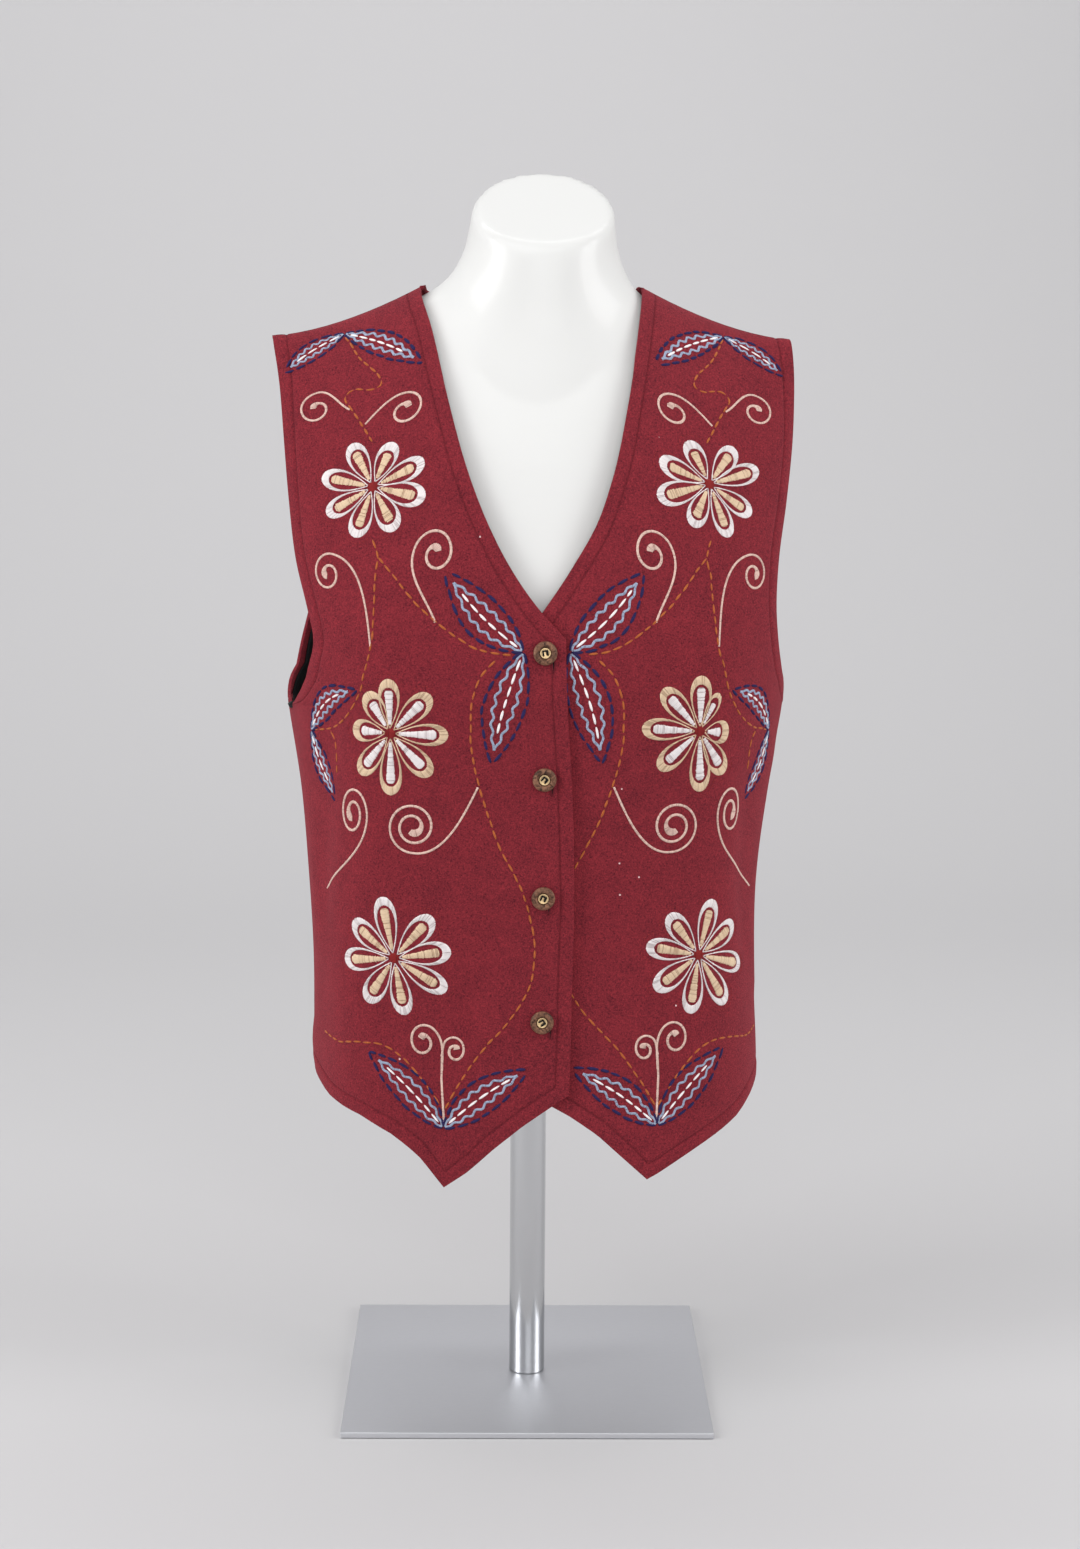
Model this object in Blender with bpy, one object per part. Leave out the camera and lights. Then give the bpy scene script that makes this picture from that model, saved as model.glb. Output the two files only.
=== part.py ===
"""A woollen waistcoat, worn by a limbless dress form on a steel stand.

The waistcoat is cut as two fronts and a back. Every cloth panel is a wall whose outer face
follows one torso surface. That surface is read with two numbers: the turn round the body, from
centre front, and the level up from the floor. Above the chest the level leans the surface back
to the shoulder ridge, so it stays one smooth sheet up to the shoulder seam and over it.

Metres, +Z up. The front looks along -Y, the wearer's left is +X, and the stand rests on Z = 0.
"""
import math
from collections import namedtuple

import bmesh
import bpy
import numpy as np
from mathutils import Matrix, Vector

MM = 0.001

# Cloth
WALL = 2.2 * MM
LINING = 1.0 * MM
SEAM_GAP = 0.3 * MM
LAP_CLEARANCE = 0.9 * MM
LAP_MARGIN, LAP_RAMP = 4 * MM, 20 * MM

# Torso surface under the cloth's outer face
MIDDLE_Y = 18 * MM
CHEST = 0.510
TOP = 0.760
RIDGE_Y = -3 * MM
FRONT_LEAN, BACK_LEAN = 1.5, 2.6
SHOULDER_TIP_X, SHOULDER_TIP_Z = 0.1777, 0.7405
SHOULDER_NECK_X, SHOULDER_NECK_Z = 0.0745, 0.7730
SHOULDER_CURVE = 1.6
RIDGE_RUN_ON = 1.1

SIDE_BLEND = 0.35
SECTION_RADIUS = 0.165

# Seams and corners of the panels
SIDE_SEAM = math.radians(83)
SEAM_PINCH = 1.6 * MM
PINCH_REACH = math.radians(6)
FRONT_SIDE = SIDE_SEAM - SEAM_GAP / 2 / SECTION_RADIUS
BACK_SIDE = SIDE_SEAM + SEAM_GAP / 2 / SECTION_RADIUS
UNDERARM = 0.488
V_CORNER = 0.5445
SIDE_HEM = 0.2345
FRONT_SEAM_LEAN, BACK_SEAM_LEAN = 0.0037, 0.0045
RIDGE_REACH = 0.003
PATH_STEPS = 200

Section = namedtuple("Section", "level half_width front back front_power back_power shift")
SECTIONS = (
    Section(0.150, 0.1584, 0.1300, 0.0870, 2.9, 2.4, 0.0054),
    Section(0.250, 0.1574, 0.1295, 0.0860, 2.9, 2.4, 0.0040),
    Section(0.310, 0.1560, 0.1300, 0.0830, 2.8, 2.4, 0.0024),
    Section(0.370, 0.1582, 0.1325, 0.0810, 2.6, 2.4, 0.0014),
    Section(0.430, 0.1642, 0.1360, 0.0850, 2.5, 2.4, 0.0026),
    Section(0.490, 0.1740, 0.1390, 0.0920, 2.4, 2.4, 0.0034),
    Section(0.532, 0.1788, 0.1390, 0.0950, 2.4, 2.4, 0.0030),
    Section(0.606, 0.1840, 0.1370, 0.0980, 2.4, 2.4, 0.0014),
    Section(0.680, 0.1870, 0.1340, 0.0990, 2.4, 2.4, 0.0004),
    Section(0.760, 0.1880, 0.1340, 0.0990, 2.4, 2.4, -0.0010),
)

# Edges of the panels. Across is measured outwards from the middle of the body, so it is
# negative where a front laps past the middle. Right and left are the wearer's.
Edge = namedtuple("Edge", "level right left")
NECKLINE = (
    Edge(0.5445, -0.0125, -0.0160),
    Edge(0.5565, 0.0028, -0.0030),
    Edge(0.5775, 0.0242, 0.0192),
    Edge(0.5930, 0.0361, 0.0340),
    Edge(0.6120, 0.0473, 0.0457),
    Edge(0.6460, 0.0606, 0.0584),
    Edge(0.6930, 0.0712, 0.0690),
    Edge(0.7290, 0.0768, 0.0738),
    Edge(0.7600, 0.0770, 0.0752),
)
FRONT_EDGE = (
    Edge(0.150, -0.0146, -0.0140),
    Edge(0.238, -0.0160, -0.0144),
    Edge(0.258, -0.0172, -0.0150),
    Edge(0.300, -0.0190, -0.0161),
    Edge(0.370, -0.0213, -0.0186),
    Edge(0.450, -0.0169, -0.0154),
    Edge(0.500, -0.0131, -0.0125),
    Edge(0.545, -0.0125, -0.0160),
    Edge(0.560, -0.0125, -0.0160),
)
ARMHOLE = (
    Edge(0.488, 0.1733, 0.1733),
    Edge(0.492, 0.1690, 0.1722),
    Edge(0.499, 0.1650, 0.1705),
    Edge(0.507, 0.1612, 0.1690),
    Edge(0.525, 0.1572, 0.1652),
    Edge(0.544, 0.1530, 0.1618),
    Edge(0.560, 0.1566, 0.1604),
    Edge(0.585, 0.1639, 0.1628),
    Edge(0.615, 0.1681, 0.1700),
    Edge(0.645, 0.1708, 0.1755),
    Edge(0.680, 0.1732, 0.1780),
    Edge(0.730, 0.1770, 0.1780),
    Edge(0.760, 0.1773, 0.1773),
)
BACK_ARMHOLE = (
    Edge(0.488, 0.1738, 0.1738),
    Edge(0.494, 0.1739, 0.1739),
    Edge(0.501, 0.1728, 0.1728),
    Edge(0.514, 0.1655, 0.1655),
    Edge(0.528, 0.1580, 0.1580),
    Edge(0.548, 0.1575, 0.1575),
    Edge(0.587, 0.1650, 0.1650),
    Edge(0.647, 0.1720, 0.1720),
    Edge(0.760, 0.1773, 0.1773),
)
BACK_NECK = (
    Edge(0.668, 0.0000, 0.0000),
    Edge(0.672, 0.0300, 0.0300),
    Edge(0.684, 0.0500, 0.0500),
    Edge(0.704, 0.0660, 0.0660),
    Edge(0.732, 0.0740, 0.0740),
    Edge(0.760, 0.0770, 0.0752),
)

# The pointed hem of a front, from its front edge out to the side seam: its level on each front
Hem = namedtuple("Hem", "across right left")
HEM_TO_POINT = (
    Hem(-0.0160, 0.2358, 0.2392),
    Hem(0.0000, 0.2252, 0.2298),
    Hem(0.0160, 0.2142, 0.2207),
    Hem(0.0349, 0.1991, 0.2079),
    Hem(0.0528, 0.1829, 0.1909),
    Hem(0.0690, 0.1716, 0.1755),
)
HEM_TO_SIDE = (
    Hem(0.0690, 0.1716, 0.1755),
    Hem(0.0776, 0.1820, 0.1797),
    Hem(0.0871, 0.1928, 0.1853),
    Hem(0.1034, 0.2056, 0.1942),
    Hem(0.1242, 0.2161, 0.2047),
    Hem(0.1358, 0.2193, 0.2111),
    Hem(0.1468, 0.2236, 0.2212),
    Hem(0.1600, 0.2345, 0.2345),
)

# Soft folds: each runs from one place on the torso to another, turns in degrees
FOLD_RADIUS = 0.15
Fold = namedtuple("Fold", "turn_low level_low turn_high level_high width height")
FOLDS = (
    Fold(-50, 0.300, -40, 0.560, 0.030, 0.0030),
    Fold(52, 0.300, 44, 0.540, 0.028, 0.0030),
    Fold(-26, 0.255, -13, 0.345, 0.016, -0.0022),
    Fold(-17, 0.275, -11, 0.370, 0.012, 0.0012),
    Fold(22, 0.230, 16, 0.400, 0.022, -0.0018),
    Fold(-66, 0.250, -70, 0.440, 0.020, -0.0016),
    Fold(112, 0.270, 104, 0.450, 0.024, 0.0030),
    Fold(248, 0.270, 256, 0.450, 0.024, 0.0030),
    Fold(152, 0.240, 160, 0.430, 0.026, -0.0024),
    Fold(206, 0.240, 200, 0.410, 0.026, -0.0024),
    Fold(-92, 0.232, -84, 0.250, 0.018, 0.0024),
)

# Grid of the panels: columns before and after the hem's point, rows below and above the corners
POINT_COLUMNS, SIDE_COLUMNS = 7, 9
SHOULDER_COLUMNS, NECK_COLUMNS = 8, 12
LOW_ROWS, HIGH_ROWS, LINING_ROWS_OFF = 11, 13, 5

# Buttons, on the lapping front
BUTTON_X = 1.6 * MM
BUTTON_LEVELS = (0.5372, 0.4523, 0.3719, 0.2867)
BUTTON_RADIUS, BUTTON_HEIGHT = 7.9 * MM, 3.4 * MM
MIDDLE_RADIUS, MIDDLE_HEIGHT = 3.7 * MM, 1.0 * MM
RECESS_RADIUS, RECESS_DEPTH, RECESS_BEVEL = 4.0 * MM, 1.6 * MM, 0.6 * MM
BUTTON_SIDES = 18
BUTTON_CLEARANCE = 0.5 * MM
Share = namedtuple("Share", "radius height")
RIM_PROFILE = (
    Share(0.72, 0.00),
    Share(0.97, 0.30),
    Share(1.00, 0.55),
    Share(0.88, 0.90),
    Share(0.72, 1.00),
)
MIDDLE_PROFILE = (
    Share(0.00, 0.00),
    Share(1.00, 0.00),
    Share(1.00, 0.60),
    Share(0.80, 1.00),
    Share(0.00, 0.80),
)
SHARP_ANGLE = math.radians(40)

# Dress form: the torso, moved in, with a neck that flares out of its shoulders
FormSection = namedtuple("FormSection", "level half_width front back")
FORM_SECTIONS = (
    FormSection(0.2700, 0.1340, 0.1080, 0.0640),
    FormSection(0.2760, 0.1430, 0.1160, 0.0720),
    FormSection(0.2900, 0.1470, 0.1190, 0.0745),
    FormSection(0.3700, 0.1480, 0.1210, 0.0700),
    FormSection(0.4300, 0.1520, 0.1250, 0.0740),
    FormSection(0.4900, 0.1570, 0.1280, 0.0810),
    FormSection(0.5320, 0.1540, 0.1285, 0.0840),
    FormSection(0.6060, 0.1530, 0.1270, 0.0870),
    FormSection(0.6800, 0.1590, 0.1250, 0.0890),
    FormSection(0.7200, 0.1610, 0.1250, 0.0900),
    FormSection(0.7450, 0.1580, 0.1250, 0.0900),
    FormSection(0.7600, 0.1500, 0.1250, 0.0900),
)
FORM_LEVELS = (0.2700, 0.2725, 0.2760, 0.2820, 0.2900, 0.3200, 0.3500, 0.3800, 0.4100, 0.4400, 0.4700,
               0.5000, 0.5300, 0.5600, 0.5900, 0.6200, 0.6500, 0.6800, 0.7050, 0.7250, 0.7400, 0.7510,
               0.7570)
SHOULDER_SECTION = FORM_SECTIONS[-3]
FORM_COLUMNS = 40
FORM_POWER = 2.3
SEAT_DROP = 4.7 * MM
NECK_RADIUS, NECK_DEPTH, NECK_SIDES = 48.5 * MM, 48 * MM, 32
NECK_X, NECK_Y, NECK_BASE, NECK_LEAN = 3.5 * MM, 4 * MM, 0.774, 0.06
CAP_Z, CAP_SLOPE, CAP_ROUND = 0.827, 0.60, 2.5 * MM
NeckRing = namedtuple("NeckRing", "spread rise")
NECK_RINGS = (
    NeckRing(0.022, -0.012),
    NeckRing(0.019, -0.002),
    NeckRing(0.014, 0.006),
    NeckRing(0.008, 0.015),
    NeckRing(0.003, 0.028),
)

# Stand
POLE_X, POLE_Y, POLE_RADIUS, POLE_SIDES = -0.7 * MM, -6 * MM, 12.7 * MM, 32
PLATE_SIZE, PLATE_HEIGHT, PLATE_BEVEL = 254 * MM, 4 * MM, 0.5 * MM
STAND_TURN = math.radians(-3)

Finish = namedtuple("Finish", "colour roughness metallic")
FINISHES = {
    "wool": Finish((0.196, 0.026, 0.037, 1), 0.92, 0.0),
    "lining": Finish((0.012, 0.012, 0.014, 1), 0.55, 0.0),
    "horn": Finish((0.110, 0.048, 0.024, 1), 0.38, 0.0),
    "brass": Finish((0.620, 0.420, 0.160, 1), 0.32, 1.0),
    "gloss_white": Finish((0.880, 0.880, 0.880, 1), 0.22, 0.0),
    "steel": Finish((0.560, 0.565, 0.575, 1), 0.34, 1.0),
}


def column(rows, name, at):
    """A smooth curve through one column of a table, read at the given levels."""
    keys = np.array([row[0] for row in rows])
    values = np.array([getattr(row, name) for row in rows])
    slopes = np.gradient(values, keys)
    at = np.clip(at, keys[0], keys[-1])
    start = np.clip(np.searchsorted(keys, at) - 1, 0, len(keys) - 2)
    step = keys[start + 1] - keys[start]
    t = (at - keys[start]) / step
    ends = (1 + 2 * t) * (1 - t) ** 2 * values[start] + t * t * (3 - 2 * t) * values[start + 1]
    return ends + t * (1 - t) * step * ((1 - t) * slopes[start] - t * slopes[start + 1])


def shoulder_height(across):
    """Height of the shoulder ridge, lowest at its tip and curving up to the neck."""
    reach = (SHOULDER_TIP_X - np.abs(across)) / (SHOULDER_TIP_X - SHOULDER_NECK_X)
    return SHOULDER_TIP_Z + (SHOULDER_NECK_Z - SHOULDER_TIP_Z) * np.clip(reach, 0, RIDGE_RUN_ON) ** SHOULDER_CURVE


def relief(turn, level):
    """How far the cloth stands out of the plain torso: its folds and the pull of the side seams."""
    height = np.zeros(np.shape(turn))
    for fold in FOLDS:
        low = np.array([math.radians(fold.turn_low) * FOLD_RADIUS, fold.level_low])
        high = np.array([math.radians(fold.turn_high) * FOLD_RADIUS, fold.level_high])
        run = high - low
        away = np.stack([turn * FOLD_RADIUS, level], -1) - low
        along = np.clip(away @ run / (run @ run), 0, 1)
        distance = np.linalg.norm(away - along[..., None] * run, axis=-1)
        height = height + fold.height * np.exp(-(distance / fold.width) ** 2)
    for seam in (-SIDE_SEAM, SIDE_SEAM, 2 * np.pi - SIDE_SEAM):
        height = height - SEAM_PINCH * np.exp(-((turn - seam) / PINCH_REACH) ** 2)
    return height


def lean_power(across, y):
    """How square the torso turns to the ridge: little in front, more behind, blended at the sides."""
    facing = (y - MIDDLE_Y) / np.hypot(across, y - MIDDLE_Y)
    share = np.clip(0.5 + facing / (2 * SIDE_BLEND), 0, 1)
    return FRONT_LEAN + (BACK_LEAN - FRONT_LEAN) * share * share * (3 - 2 * share)


def lean_back(across, y, level, drop=0.0):
    """Carry a section's point up and back to the shoulder ridge, above the chest."""
    tilt = np.pi / 2 * np.clip((level - CHEST) / (TOP - CHEST), 0, 1)
    power = lean_power(across, y)
    lift = np.sin(tilt) ** (2 / power)
    lean = np.clip(np.cos(tilt), 0, 1) ** (2 / power)
    raised = CHEST + (shoulder_height(across) - drop - CHEST) * lift
    return RIDGE_Y + (y - RIDGE_Y) * lean, np.where(level > CHEST, raised, level)


def section_reach(turn, half_width, depth, power):
    """Distance from the middle of a section to its edge, at a turn."""
    return ((np.abs(np.sin(turn)) / half_width) ** power
            + (np.abs(np.cos(turn)) / depth) ** power) ** (-1 / power)


def section_depth(across, half_width, depth, power):
    """Distance from the middle of a section to its front or back edge, at a distance across."""
    share = np.clip(np.abs(across) / half_width, 0, 1)
    return depth * (1 - share ** power) ** (1 / power)


def torso(turn, level):
    """Points of the cloth's outer face."""
    turn, level = np.broadcast_arrays(np.asarray(turn, float), np.asarray(level, float))
    ahead = np.cos(turn) > 0
    depth = np.where(ahead, column(SECTIONS, "front", level), column(SECTIONS, "back", level))
    power = np.where(ahead, column(SECTIONS, "front_power", level), column(SECTIONS, "back_power", level))
    reach = section_reach(turn, column(SECTIONS, "half_width", level), depth, power)
    reach = reach + relief(turn, level)
    across = reach * np.sin(turn)
    y, z = lean_back(across, MIDDLE_Y - reach * np.cos(turn), level)
    return np.stack([across + column(SECTIONS, "shift", level), y, z], -1)


def outward(turn, level):
    """Unit normals of the torso surface, straight up along its ridge."""
    turn, level = np.broadcast_arrays(np.asarray(turn, float), np.asarray(level, float))
    step = 2e-4
    round_body = torso(turn + step, level) - torso(turn - step, level)
    up_body = torso(turn, level) - torso(turn, level - step)
    normal = np.cross(round_body, up_body)
    normal = normal / np.linalg.norm(normal, axis=-1, keepdims=True)
    return np.where((level > TOP - RIDGE_REACH)[..., None], [0.0, 0.0, 1.0], normal)


def turn_at(across, level, behind=False):
    """The turn of a point that lies the given distance across from the middle of the body."""
    side = "back" if behind else "front"
    half_width = column(SECTIONS, "half_width", level)
    depth = section_depth(across, half_width, column(SECTIONS, side, level),
                          column(SECTIONS, side + "_power", level))
    turn = np.arctan2(np.minimum(np.abs(across), half_width), depth)
    return np.pi - turn if behind else np.sign(across) * turn


def resampled(turn, level, count):
    """A path on the torso, as count + 1 places at even distances along it."""
    points = torso(turn, level)
    run = np.concatenate([[0], np.cumsum(np.linalg.norm(np.diff(points, axis=0), axis=-1))])
    places = np.linspace(0, run[-1], count + 1)
    return np.stack([np.interp(places, run, turn), np.interp(places, run, level)], -1)


def edge_path(table, side, low, high, count, behind=False):
    """An edge given by a table, from one level to another, kept on its own side of the side seam."""
    level = np.linspace(low, high, PATH_STEPS)
    turn = turn_at(column(table, side, level), level, behind)
    turn = np.maximum(turn, BACK_SIDE) if behind else np.minimum(turn, FRONT_SIDE)
    return resampled(turn, level, count)


def side_seam_path(turn):
    """The side seam, from the hem to the underarm."""
    level = np.linspace(SIDE_HEM, UNDERARM, PATH_STEPS)
    return resampled(np.full(PATH_STEPS, turn), level, LOW_ROWS)


def hem_path(rows, side, count):
    """A stretch of the pointed hem."""
    share = np.linspace(0, len(rows) - 1, PATH_STEPS)
    across = np.interp(share, range(len(rows)), [row.across for row in rows])
    level = np.interp(share, range(len(rows)), [getattr(row, side) for row in rows])
    return resampled(np.minimum(turn_at(across, level), FRONT_SIDE), level, count)


def seam_level(lean, power):
    """The level just under the ridge where the cloth has only this share of its depth left."""
    return CHEST + (TOP - CHEST) * math.acos(lean ** (power / 2)) / (math.pi / 2)


def shoulder_seam(side, count, behind=False):
    """The shoulder seam along the ridge, from neck to tip."""
    level = BACK_SEAM if behind else FRONT_SEAM
    across = np.linspace(column(NECKLINE, side, TOP), column(ARMHOLE, side, TOP), count + 1)
    return np.stack([turn_at(across, level, behind), np.full(count + 1, level)], -1)


def joined(*paths):
    """Paths laid end to end, each starting where the last one stopped."""
    return np.concatenate([paths[0]] + [path[1:] for path in paths[1:]])


def patch(left, right, bottom, top):
    """Fill four edges with a grid of turns and levels, rows by columns."""
    v = np.linspace(0, 1, len(left))[:, None, None]
    u = np.linspace(0, 1, len(bottom))[None, :, None]
    rows = (1 - u) * left[:, None] + u * right[:, None]
    columns = (1 - v) * bottom[None] + v * top[None]
    corners = ((1 - u) * (1 - v) * left[0] + u * (1 - v) * right[0]
               + (1 - u) * v * left[-1] + u * v * right[-1])
    return rows + columns - corners


def front_grid(side):
    """Turns and levels of a front, from its front edge out to its side and from hem to shoulder."""
    inner = joined(edge_path(FRONT_EDGE, side, getattr(HEM_TO_POINT[0], side), V_CORNER, LOW_ROWS),
                   edge_path(NECKLINE, side, V_CORNER, FRONT_SEAM, HIGH_ROWS))
    outer = joined(side_seam_path(FRONT_SIDE),
                   edge_path(ARMHOLE, side, UNDERARM, FRONT_SEAM, HIGH_ROWS))
    bottom = joined(hem_path(HEM_TO_POINT, side, POINT_COLUMNS), hem_path(HEM_TO_SIDE, side, SIDE_COLUMNS))
    top = shoulder_seam(side, len(bottom) - 1)
    inner[0], inner[-1], outer[0], outer[-1] = bottom[0], top[0], bottom[-1], top[-1]
    return patch(inner, outer, bottom, top)


def back_grid():
    """Turns and levels of the back, from the wearer's left side seam round to the right one."""
    seam = shoulder_seam("left", SHOULDER_COLUMNS, behind=True)[::-1]
    neck = edge_path(BACK_NECK, "left", BACK_SEAM, BACK_NECK[0].level, NECK_COLUMNS // 2, behind=True)
    half = joined(seam, neck)
    side = joined(side_seam_path(BACK_SIDE),
                  edge_path(BACK_ARMHOLE, "left", UNDERARM, BACK_SEAM, HIGH_ROWS, behind=True))
    side[-1] = half[0]
    columns = 2 * (len(half) - 1)
    hem_turns = np.linspace(BACK_SIDE, 2 * np.pi - BACK_SIDE, columns + 1)
    bottom = np.stack([hem_turns, np.full(columns + 1, SIDE_HEM)], -1)
    mirrored, round_back = [-1, 1], [2 * np.pi, 0]
    top = joined(half, (half * mirrored + round_back)[::-1])
    return patch(side, side * mirrored + round_back, bottom, top)


def under_lap(grid):
    """How far the under front is set back where the other front laps over it."""
    lap_edge = -column(FRONT_EDGE, "right", grid[..., 1])
    reach = section_reach(grid[..., 0], column(SECTIONS, "half_width", grid[..., 1]),
                          column(SECTIONS, "front", grid[..., 1]),
                          column(SECTIONS, "front_power", grid[..., 1]))
    past = np.clip((reach * np.sin(grid[..., 0]) - lap_edge - LAP_MARGIN) / LAP_RAMP, 0, 1)
    return (WALL + LAP_CLEARANCE) * (1 - past * past * (3 - 2 * past))


FRONT_SEAM = seam_level(FRONT_SEAM_LEAN, FRONT_LEAN)
BACK_SEAM = seam_level(BACK_SEAM_LEAN, BACK_LEAN)


def material(name):
    """The Principled material of a finish, made once."""
    if name in bpy.data.materials:
        return bpy.data.materials[name]
    made = bpy.data.materials.new(name)
    made.use_nodes = True
    shader = made.node_tree.nodes["Principled BSDF"]
    shader.inputs["Base Color"].default_value = FINISHES[name].colour
    shader.inputs["Roughness"].default_value = FINISHES[name].roughness
    shader.inputs["Metallic"].default_value = FINISHES[name].metallic
    return made


def new_object(name, vertices, faces, finish):
    """A named, smooth-shaded object with its material."""
    mesh = bpy.data.meshes.new(name)
    mesh.from_pydata([tuple(vertex) for vertex in vertices], [], faces)
    mesh.shade_smooth()
    mesh.set_sharp_from_angle(angle=SHARP_ANGLE)
    mesh.materials.append(material(finish))
    made = bpy.data.objects.new(name, mesh)
    bpy.context.scene.collection.objects.link(made)
    return made


def halved(quad, points):
    """A quad as two triangles, cut along its shorter diagonal."""
    a, b, c, d = quad
    if np.linalg.norm(points[a] - points[c]) < np.linalg.norm(points[b] - points[d]):
        return [(a, b, c), (a, c, d)]
    return [(a, b, d), (b, c, d)]


def wall(name, grid, finish, thickness, inset=0.0):
    """A cloth wall on a grid of turns and levels, its outer face set in from the torso surface."""
    surface, normals = torso(grid[..., 0], grid[..., 1]), outward(grid[..., 0], grid[..., 1])
    outer = surface - normals * np.asarray(inset)[..., None]
    inner = outer - normals * thickness
    rows, columns = grid.shape[:2]
    layer = rows * columns
    place = np.arange(layer).reshape(rows, columns)
    surface = surface.reshape(-1, 3)
    faces = []
    for row in range(rows - 1):
        for step in range(columns - 1):
            quad = (place[row, step], place[row, step + 1], place[row + 1, step + 1], place[row + 1, step])
            for a, b, c in halved(quad, surface):
                faces += [(a, b, c), (c + layer, b + layer, a + layer)]
    rim = list(place[0, :]) + list(place[1:, -1]) + list(place[-1, -2::-1]) + list(place[-2:0:-1, 0])
    for here, there in zip(rim, rim[1:] + rim[:1]):
        faces.append((there, here, here + layer, there + layer))
    vertices = np.concatenate([outer.reshape(-1, 3), inner.reshape(-1, 3)])
    return new_object(name, vertices, [tuple(int(i) for i in face) for face in faces], finish)


def turned(name, profile, sides, finish, place):
    """A round piece turned from a profile of radius and height, both ends on its axis."""
    vertices, rings = [], []
    for radius, height in profile:
        if radius == 0:
            rings.append([len(vertices)] * sides)
            vertices.append((0, 0, height))
            continue
        rings.append([len(vertices) + side for side in range(sides)])
        vertices += [(radius * math.cos(2 * math.pi * side / sides),
                      radius * math.sin(2 * math.pi * side / sides), height) for side in range(sides)]
    faces = []
    for low, high in zip(rings, rings[1:]):
        for side in range(sides):
            after = (side + 1) % sides
            face = [low[side], low[after], high[after], high[side]]
            faces.append(tuple(dict.fromkeys(face)))
    new_object(name, [place @ Vector(vertex) for vertex in vertices], faces, finish)


def button_place(level):
    """Where a button sits: its back face just clear of the cloth, its face along the normal."""
    turn = turn_at(BUTTON_X - column(SECTIONS, "shift", level), level)
    point, normal = Vector(torso(turn, level)), Vector(outward(turn, level))
    turned_to = normal.to_track_quat("Z", "Y").to_matrix().to_4x4()
    return Matrix.Translation(point + normal * BUTTON_CLEARANCE) @ turned_to


def make_cloth():
    """The fronts, the back and the lining of the back."""
    wall("front_right", front_grid("right")[:, ::-1] * [-1, 1], "wool", WALL)
    left = front_grid("left")
    wall("front_left", left, "wool", WALL, under_lap(left))
    back = back_grid()
    wall("back", back, "wool", WALL)
    wall("lining_back", back[1:-LINING_ROWS_OFF, 1:-1], "lining", LINING, WALL + SEAM_GAP)


def make_buttons():
    """Four domed buttons, each with a brass middle sunk in its face."""
    floor, lip = BUTTON_HEIGHT - RECESS_DEPTH, BUTTON_HEIGHT - RECESS_BEVEL
    rim = [(0, 0)] + [(share.radius * BUTTON_RADIUS, share.height * BUTTON_HEIGHT) for share in RIM_PROFILE]
    rim += [(RECESS_RADIUS + RECESS_BEVEL, lip), (RECESS_RADIUS, floor), (0, floor)]
    base = floor + SEAM_GAP
    middle = [(share.radius * MIDDLE_RADIUS, base + share.height * MIDDLE_HEIGHT) for share in MIDDLE_PROFILE]
    for number, level in enumerate(BUTTON_LEVELS, 1):
        place = button_place(level)
        turned(f"button_{number}", rim, BUTTON_SIDES, "horn", place)
        turned(f"button_middle_{number}", middle, BUTTON_SIDES, "brass", place)


def form_point(turn, level):
    """Points of the dress form's torso: narrower than the cloth and just under its shoulders."""
    half_width = column(FORM_SECTIONS, "half_width", level)
    depth = np.where(np.cos(turn) > 0, column(FORM_SECTIONS, "front", level),
                     column(FORM_SECTIONS, "back", level))
    reach = section_reach(turn, half_width, depth, FORM_POWER)
    across = reach * np.sin(turn)
    y, z = lean_back(across, MIDDLE_Y - reach * np.cos(turn), level, SEAT_DROP)
    return np.stack([across + column(SECTIONS, "shift", level), y, z], -1)


def form_height(across, y):
    """Height of the form's shoulders over a place near the neck."""
    top = SHOULDER_SECTION
    depth = np.where(y < RIDGE_Y, -section_depth(across, top.half_width, top.front, FORM_POWER),
                     section_depth(across, top.half_width, top.back, FORM_POWER))
    lean = np.clip((y - RIDGE_Y) / (MIDDLE_Y + depth - RIDGE_Y), 0, 1)
    power = lean_power(across, MIDDLE_Y + depth)
    tilt = np.arccos(lean ** (power / 2))
    return CHEST + (shoulder_height(across) - SEAT_DROP - CHEST) * np.sin(tilt) ** (2 / power)


def make_form():
    """The dress form: torso and neck, united into one closed body."""
    half = FORM_COLUMNS // 2
    ahead = np.linspace(-np.pi / 2, np.pi / 2, half + 1)
    turns = np.concatenate([ahead, np.pi - ahead[-2:0:-1]])
    levels = np.array(FORM_LEVELS)
    points = form_point(turns[None, :], levels[:, None])
    count = len(turns)
    ring = np.arange(points[..., 0].size).reshape(points.shape[:2])
    faces = [tuple(int(i) for i in ring[0, ::-1])]
    for row in range(len(levels) - 1):
        for step in range(count):
            after = (step + 1) % count
            faces.append((int(ring[row, step]), int(ring[row, after]), int(ring[row + 1, after]),
                          int(ring[row + 1, step])))
    top = [int(i) for i in ring[-1]]
    for step in range(half):
        face = (top[step], top[step + 1], top[-step - 1], top[-step])
        faces.append(tuple(dict.fromkeys(face)))
    form = new_object("dress_form", points.reshape(-1, 3), faces, "gloss_white")
    neck = make_neck()
    union = form.modifiers.new("neck", "BOOLEAN")
    union.operation = "UNION"
    union.object = neck


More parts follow.
